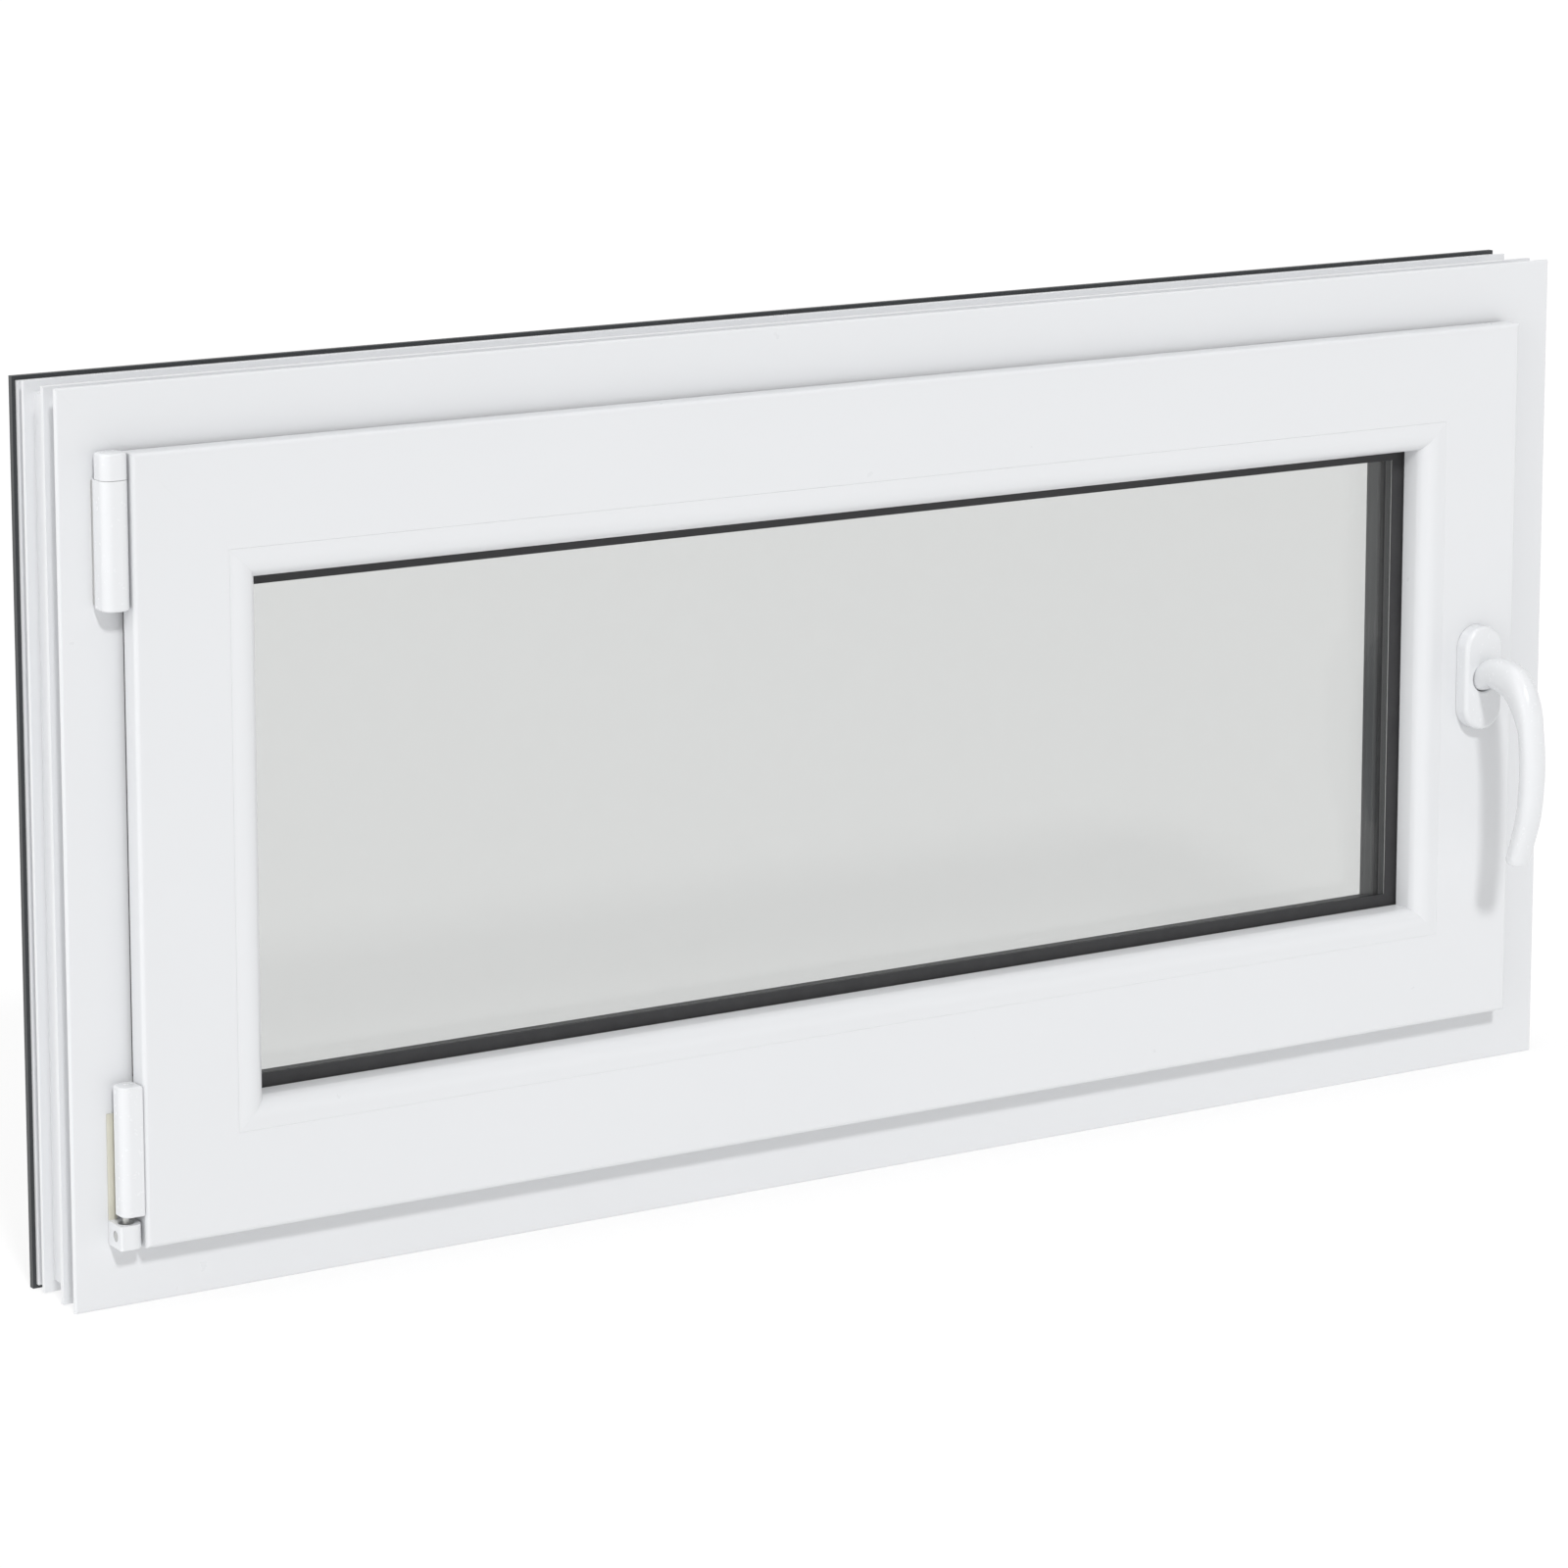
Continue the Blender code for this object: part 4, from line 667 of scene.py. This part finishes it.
def bead_section():
    """The bead's section: a softly crowned face from the sash joint down to the glass."""
    crest = bpy.context.scene.section_sizes.bead_crest
    start = BEAD_START + 0.03 * MM
    sight = BEAD_HIGH.x + HALF_WIDTH
    width = sight - start
    front = SASH_FACE - ROOM_FACE
    top = front - crest
    fall_to_glass = 10.5 * MM
    fall = fall_to_glass + crest
    face = soft_curve(
        [
            (start, front + 0.12 * MM),
            (start + 0.02 * width, front + 0.02 * MM),
            (start + 0.10 * width, front - 0.05 * MM),
            (start + 0.38 * width, top),
            (start + 0.58 * width, top + 0.03 * fall),
            (start + 0.75 * width, top + 0.14 * fall),
            (start + 0.90 * width, top + 0.40 * fall),
            (start + 0.98 * width, top + 0.72 * fall),
            (sight, top + fall),
        ],
        6,
    )
    back = BEAD_HIGH.y - ROOM_FACE
    return np.concatenate([face, [(sight, back - 0.5 * MM), (sight, back), (start, back)]])


def upright_block(name, plan, low, high, node, edges=(0.8 * MM, 0.8 * MM), steps=6):
    """A closed upright piece on a plan outline with rounded bottom and top edges.

    Towards each end the plan's loops follow a quarter circle whose radius is that end's edge:
    they shrink towards the plan's middle as they near the end.
    """
    plan = np.asarray(plan, float)
    middle = (plan.max(axis=0) + plan.min(axis=0)) / 2
    half = (plan.max(axis=0) - plan.min(axis=0)) / 2
    angle = np.linspace(0, math.pi / 2, steps + 1)
    below, above = edges
    insets = np.concatenate([below * (1 - np.sin(angle)), above * (1 - np.sin(angle[::-1]))])
    heights = np.concatenate(
        [low + below * (1 - np.cos(angle)), high - above * (1 - np.cos(angle[::-1]))]
    )
    scale = 1 - insets[:, None, None] / half[None, None, :]
    loops = middle + (plan[None] - middle) * scale
    upright = np.broadcast_to(heights[:, None, None], (*loops.shape[:2], 1))
    points = np.concatenate([loops, upright], axis=2)
    rows, columns = points.shape[:2]
    faces = grid_faces(rows, columns)
    faces += [list(range(columns)), list(range((rows - 1) * columns, rows * columns))]
    return show(name, points, faces, node, smooth=40)


def lever_line():
    """Middle line of the lever as (proud of the sash, rise over the handle's axis)."""
    reach = 68 * MM
    drop = 131 * MM
    neck = 5.1 * MM
    return [
        (neck, 0),
        (neck + 4 * MM, 0),
        (neck + 8 * MM, 1.6 * MM),
        (0.34 * reach, 5.6 * MM),
        (0.52 * reach, 5.0 * MM),
        (0.70 * reach, 1.0 * MM),
        (0.84 * reach, -0.07 * drop),
        (0.95 * reach, -0.20 * drop),
        (reach, -0.40 * drop),
        (0.99 * reach, -0.58 * drop),
        (0.94 * reach, -0.75 * drop),
        (0.78 * reach, -drop),
    ]


def make_lever():
    """The lever: a soft oval carried along its middle line, round at the neck, eased at its end.

    The oval takes the cosine and sine of the angle round it, each raised to a power below 1, so
    its sides are a little fuller than an ellipse. It thickens through the bend, and its end
    shrinks along a quarter circle.
    """
    sizes = bpy.context.scene.handle_sizes
    line = soft_curve(lever_line(), 12)
    run = np.linalg.norm(np.diff(line, axis=0), axis=1)
    travelled = np.concatenate([[0], np.cumsum(run)])
    total = travelled[-1]
    ease_in = np.linspace(0.3, 1, 10) * math.pi / 2
    stations = np.union1d(travelled, total - sizes.tip_round * (1 - np.sin(ease_in)))
    line = np.stack([np.interp(stations, travelled, line[:, k]) for k in range(2)], axis=1)
    step = np.gradient(line, stations, axis=0)
    step /= np.linalg.norm(step, axis=1)[:, None]
    share = stations / total
    swell = 0.92 + 0.08 * np.sin(math.pi * share)
    elbow = np.sin(math.pi * np.clip(share / 0.44, 0, 1))
    left = np.clip((total - stations) / sizes.tip_round, 0, 1)
    shrink = sizes.tip_round * (1 - np.sqrt(1 - (1 - left) ** 2))
    neck_end, neck_blend, neck_radius = 7 * MM, 5 * MM, 9.2 * MM
    neck = np.clip(1 - (stations - neck_end) / neck_blend, 0, 1)
    thick = sizes.grip_thickness / 2 * (swell + 0.76 * elbow)
    wide = sizes.grip_width / 2 * (swell + 0.06 * elbow)
    thick = thick + (neck_radius - thick) * neck - shrink
    wide = wide + (neck_radius - wide) * neck - shrink
    around = np.linspace(0, 2 * math.pi, 48, endpoint=False)
    power = 0.86
    across = np.sign(np.cos(around)) * np.abs(np.cos(around)) ** power
    through = np.sign(np.sin(around)) * np.abs(np.sin(around)) ** power
    side = np.stack([-step[:, 1], step[:, 0]], axis=1)
    proud = line[:, 0][:, None] + thick[:, None] * through[None] * side[:, 0][:, None]
    rise = line[:, 1][:, None] + thick[:, None] * through[None] * side[:, 1][:, None]
    x = HANDLE_AXIS.x + wide[:, None] * across[None]
    points = np.stack([x, SASH_FACE - proud, HANDLE_AXIS.z + rise], axis=2)
    rows, columns = points.shape[:2]
    faces = grid_faces(rows, columns)
    faces += [list(range(columns)), list(range((rows - 1) * columns, rows * columns))]
    return show("lever", points, faces, "handle_lever", smooth=45)


def stadium(width, height, count=96):
    """Loop of a slot shape: a circle as wide as the slot, its halves moved up and down apart."""
    angle = np.linspace(0, 2 * math.pi, count, endpoint=False) + math.pi / count
    radius = width / 2
    reach = height / 2 - radius
    return np.stack(
        [radius * np.cos(angle), radius * np.sin(angle) + reach * np.sign(np.sin(angle))], axis=1
    )


def make_rosette():
    """The rosette: slot-shaped loops stacked from back to front, rounded, then in to the neck."""
    sizes = bpy.context.scene.handle_sizes
    width = ROSETTE_HIGH.x - ROSETTE_LOW.x
    height = ROSETTE_HIGH.z - ROSETTE_LOW.z
    back = SASH_FACE - ROSETTE_HIGH.y
    front = SASH_FACE - ROSETTE_LOW.y
    radius = sizes.rosette_round
    loops = [(stadium(width, height), back)]
    loops.append((stadium(width, height), front - radius - 0.2 * MM))
    for turn in np.linspace(0, math.pi / 2, 9):
        inset = radius * (1 - math.cos(turn))
        loops.append(
            (stadium(width - 2 * inset, height - 2 * inset), front - radius * (1 - math.sin(turn)))
        )
    inner = stadium(width - 2 * radius - 0.4 * MM, height - 2 * radius - 0.4 * MM)
    loops.append((inner, front))
    count = len(inner)
    around = np.linspace(0, 2 * math.pi, count, endpoint=False) + math.pi / count
    ring = np.stack([np.cos(around), np.sin(around)], axis=1)
    bore = 10.1 * MM
    for ring_radius, depth in (
        (bore + 1.5 * MM, front),
        (bore + 1.3 * MM, front + 0.01 * MM),
        (bore + 0.3 * MM, front - 0.5 * MM),
        (bore, front - 1.2 * MM),
        (bore, back),
    ):
        loops.append((ring * ring_radius, depth))
    points = np.stack(
        [
            np.stack(
                [
                    HANDLE_AXIS.x + loop[:, 0],
                    np.full(count, SASH_FACE - depth),
                    HANDLE_AXIS.z + loop[:, 1],
                ],
                axis=1,
            )
            for loop, depth in loops
        ]
    )
    faces = grid_faces(len(loops), count, wrap_rows=True)
    return show("rosette", points, faces, "handle_rosette", smooth=40)


# Operators


class WINDOW_OT_frame(bpy.types.Operator):
    """Frame: four mitred white lengths with ribs on their outer side"""

    bl_idname = "window.frame"
    bl_label = "Frame"

    def execute(self, context):
        outline = frame_section()
        for side, node in (
            ("hinge", "frame_hinge_jamb"),
            ("head", "frame_head"),
            ("lock", "frame_lock_jamb"),
            ("sill", "frame_sill"),
        ):
            length(f"frame_{side}_length", outline, side, node)
        return {"FINISHED"}


class WINDOW_OT_sash(bpy.types.Operator):
    """Sash: four mitred white lengths with a rounded lip over the frame"""

    bl_idname = "window.sash"
    bl_label = "Sash"

    def execute(self, context):
        outline = sash_section()
        for side, node in (
            ("hinge", "sash_hinge_stile"),
            ("head", "sash_head_rail"),
            ("lock", "sash_lock_stile"),
            ("sill", "sash_bottom_rail"),
        ):
            length(f"sash_{side}_length", outline, side, node)
        return {"FINISHED"}


class WINDOW_OT_beads(bpy.types.Operator):
    """Glazing beads: four crowned white strips round the glass"""

    bl_idname = "window.beads"
    bl_label = "Glazing beads"

    def execute(self, context):
        outline = bead_section()
        for side in ("hinge", "head", "lock", "sill"):
            length(f"bead_{side}_length", outline, side, f"glazing_bead_{side}")
        return {"FINISHED"}


class WINDOW_OT_handle(bpy.types.Operator):
    """Handle: bowed lever and rounded rosette"""

    bl_idname = "window.handle"
    bl_label = "Handle"

    def execute(self, context):
        make_lever()
        make_rosette()
        return {"FINISHED"}


class WINDOW_OT_hinges(bpy.types.Operator):
    """Hinge covers: the upper bearing's cover, the stay's cap and the lower band's cover"""

    bl_idname = "window.hinges"
    bl_label = "Hinge covers"

    def execute(self, context):
        x, y = HINGE_AXIS.x, HINGE_AXIS.y
        cap_low, cap_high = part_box("stay_cap")
        inset = 0.35 * MM
        reach = (cap_high.x - cap_low.x) / 2 - inset
        corner = 6.5 * MM
        low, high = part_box("stay_bearing_cover")
        plan = section(
            [
                (x - reach, high.y, 4 * MM),
                (x - reach, y - reach, corner),
                (x + reach, y - reach, corner),
                (x + reach, high.y),
            ],
            steps=10,
        )
        edges = (1.8 * MM, 0.1 * MM)
        upright_block("upper_hinge_cover", plan, low.z, high.z, "stay_bearing_cover", edges)
        plan = section(
            [
                (x - reach, y + reach, corner),
                (x - reach, y - reach, corner),
                (x + reach, y - reach, corner),
                (x + reach, y + reach, corner),
            ],
            steps=10,
        )
        edges = (0.1 * MM, 1.8 * MM)
        upright_block("upper_hinge_cap", plan, cap_low.z, cap_high.z, "stay_cap", edges)
        low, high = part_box("corner_band_cover")
        left = low.x + 2.2 * MM
        plan = section(
            [
                (left, high.y, 4 * MM),
                (left, low.y, 6 * MM),
                (high.x, low.y, 1 * MM),
                (high.x, high.y),
            ],
            steps=10,
        )
        edges = (1 * MM, 1.4 * MM)
        upright_block("lower_hinge_cover", plan, low.z, high.z, "corner_band_cover", edges)
        return {"FINISHED"}


class WINDOW_OT_fittings(bpy.types.Operator):
    """Fittings, seals, cores and glass: finishes for every piece that keeps its CAD shape"""

    bl_idname = "window.fittings"
    bl_label = "Fittings and glass"

    def execute(self, context):
        for node, obj in frame["nodes"].items():
            if obj.hide_render:
                continue
            obj.data.materials.clear()
            obj.data.materials.append(finish(SLOTS[node]))
        bearing = frame["nodes"]["corner_bearing"]
        lacquer = tuple(context.scene.window_colours.lacquer)
        bearing.data.materials[0] = bearing_paint("corner_bearing", lacquer)
        return {"FINISHED"}


class WINDOW_OT_stage(bpy.types.Operator):
    """Stage: pale floor, soft studio light and the camera"""

    bl_idname = "window.stage"
    bl_label = "Stage"

    def execute(self, context):
        make_floor()
        make_lights()
        make_camera()
        return {"FINISHED"}


def make_floor():
    """A flat pale square just under the sill."""
    half = 40.0
    level = CAD_BOUNDS[0].z - 0.2 * MM
    corners = [(-half, -half, level), (half, -half, level), (half, half, level), (-half, half, level)]
    mesh = bpy.data.meshes.new("floor")
    mesh.from_pydata(corners, [], [(0, 1, 2, 3)])
    floor = bpy.data.objects.new("floor", mesh)
    bpy.context.scene.collection.objects.link(floor)
    colour = tuple(bpy.context.scene.window_colours.floor)
    mesh.materials.append(floor_paint("studio_floor", colour))


def soft_sun(name, aim, softness, strength):
    """A wide, even light that shines along the aim."""
    light = bpy.data.lights.new(name, "SUN")
    light.angle = math.radians(softness)
    light.energy = strength
    lamp = bpy.data.objects.new(name, light)
    bpy.context.scene.collection.objects.link(lamp)
    lamp.rotation_euler = Vector(aim).to_track_quat("-Z", "Y").to_euler()


def make_surround():
    """White surround: bright overhead and behind, dimmer on the room side, white at the horizon."""
    world = bpy.data.worlds.new("studio")
    world.use_nodes = True
    tree = world.node_tree
    sky = tree.nodes["Background"]
    sky.inputs["Color"].default_value = (1, 1, 1, 1)
    way = tree.nodes.new("ShaderNodeTexCoord")

    def grade(direction, low, high, dark, bright):
        """Level that runs from dark to bright as the way along the direction goes low to high."""
        lean = tree.nodes.new("ShaderNodeVectorMath")
        lean.operation = "DOT_PRODUCT"
        lean.inputs[1].default_value = direction
        tree.links.new(way.outputs["Generated"], lean.inputs[0])
        level = tree.nodes.new("ShaderNodeMapRange")
        for name, value in (
            ("From Min", low), ("From Max", high), ("To Min", dark), ("To Max", bright)
        ):
            level.inputs[name].default_value = value
        tree.links.new(lean.outputs["Value"], level.inputs["Value"])
        return level.outputs["Result"]

    brighter = tree.nodes.new("ShaderNodeMath")
    brighter.operation = "MAXIMUM"
    tree.links.new(grade((-0.15, 0.55, 0.60), -0.5, 0.5, 0.17, 0.74), brighter.inputs[0])
    tree.links.new(grade((0, 0, 1), 0.10, 0.22, 1.04, 0.17), brighter.inputs[1])
    tree.links.new(brighter.outputs[0], sky.inputs["Strength"])
    bpy.context.scene.world = world


def make_lights():
    """A soft key from the upper left in front, and wide fills from the left and from above."""
    make_surround()
    soft_sun("key", (0.214, 0.747, -0.629), 7, 1.40)
    soft_sun("left_fill", (0.96, 0.10, -0.26), 50, 0.84)
    soft_sun("top_fill", (0.05, -0.15, -1), 40, 0.45)
    bpy.context.scene.view_settings.view_transform = "Standard"


def make_camera():
    """The camera: a long lens from the upper left, with a small downward shift."""
    place = (-2.0473, -3.1792, 1.1188)
    yaw, pitch = 0.56095, 0.17276
    camera = bpy.data.cameras.new("camera")
    camera.lens = 128.4
    camera.sensor_width = 36
    camera.shift_y = -0.17
    camera.clip_start = 0.05
    camera.clip_end = 200
    obj = bpy.data.objects.new("camera", camera)
    bpy.context.scene.collection.objects.link(obj)
    obj.location = place
    obj.rotation_euler = (math.pi / 2 - pitch, 0, -yaw)
    bpy.context.scene.camera = obj


class WINDOW_PT_panel(bpy.types.Panel):
    """Sidebar panel with the window's pieces"""

    bl_label = "Tilt-and-Turn Window"
    bl_idname = "WINDOW_PT_panel"
    bl_space_type = "VIEW_3D"
    bl_region_type = "UI"
    bl_category = "Window"

    def draw(self, context):
        layout = self.layout
        for operator in OPERATORS:
            layout.operator(operator.bl_idname)
        for group in (
            context.scene.section_sizes,
            context.scene.handle_sizes,
            context.scene.window_colours,
        ):
            box = layout.box()
            for name in group.__annotations__:
                box.prop(group, name)


OPERATORS = (
    WINDOW_OT_frame,
    WINDOW_OT_sash,
    WINDOW_OT_beads,
    WINDOW_OT_handle,
    WINDOW_OT_hinges,
    WINDOW_OT_fittings,
    WINDOW_OT_stage,
)
CLASSES = (SectionSizes, HandleSizes, WindowColours, *OPERATORS, WINDOW_PT_panel)


def register():
    for item in CLASSES:
        bpy.utils.register_class(item)
    bpy.types.Scene.section_sizes = PointerProperty(type=SectionSizes)
    bpy.types.Scene.handle_sizes = PointerProperty(type=HandleSizes)
    bpy.types.Scene.window_colours = PointerProperty(type=WindowColours)


def unregister():
    del bpy.types.Scene.window_colours
    del bpy.types.Scene.handle_sizes
    del bpy.types.Scene.section_sizes
    for item in reversed(CLASSES):
        bpy.utils.unregister_class(item)


def main():
    register()
    for operator in OPERATORS:
        group, name = operator.bl_idname.split(".")
        getattr(getattr(bpy.ops, group), name)()


if __name__ == "__main__":
    main()
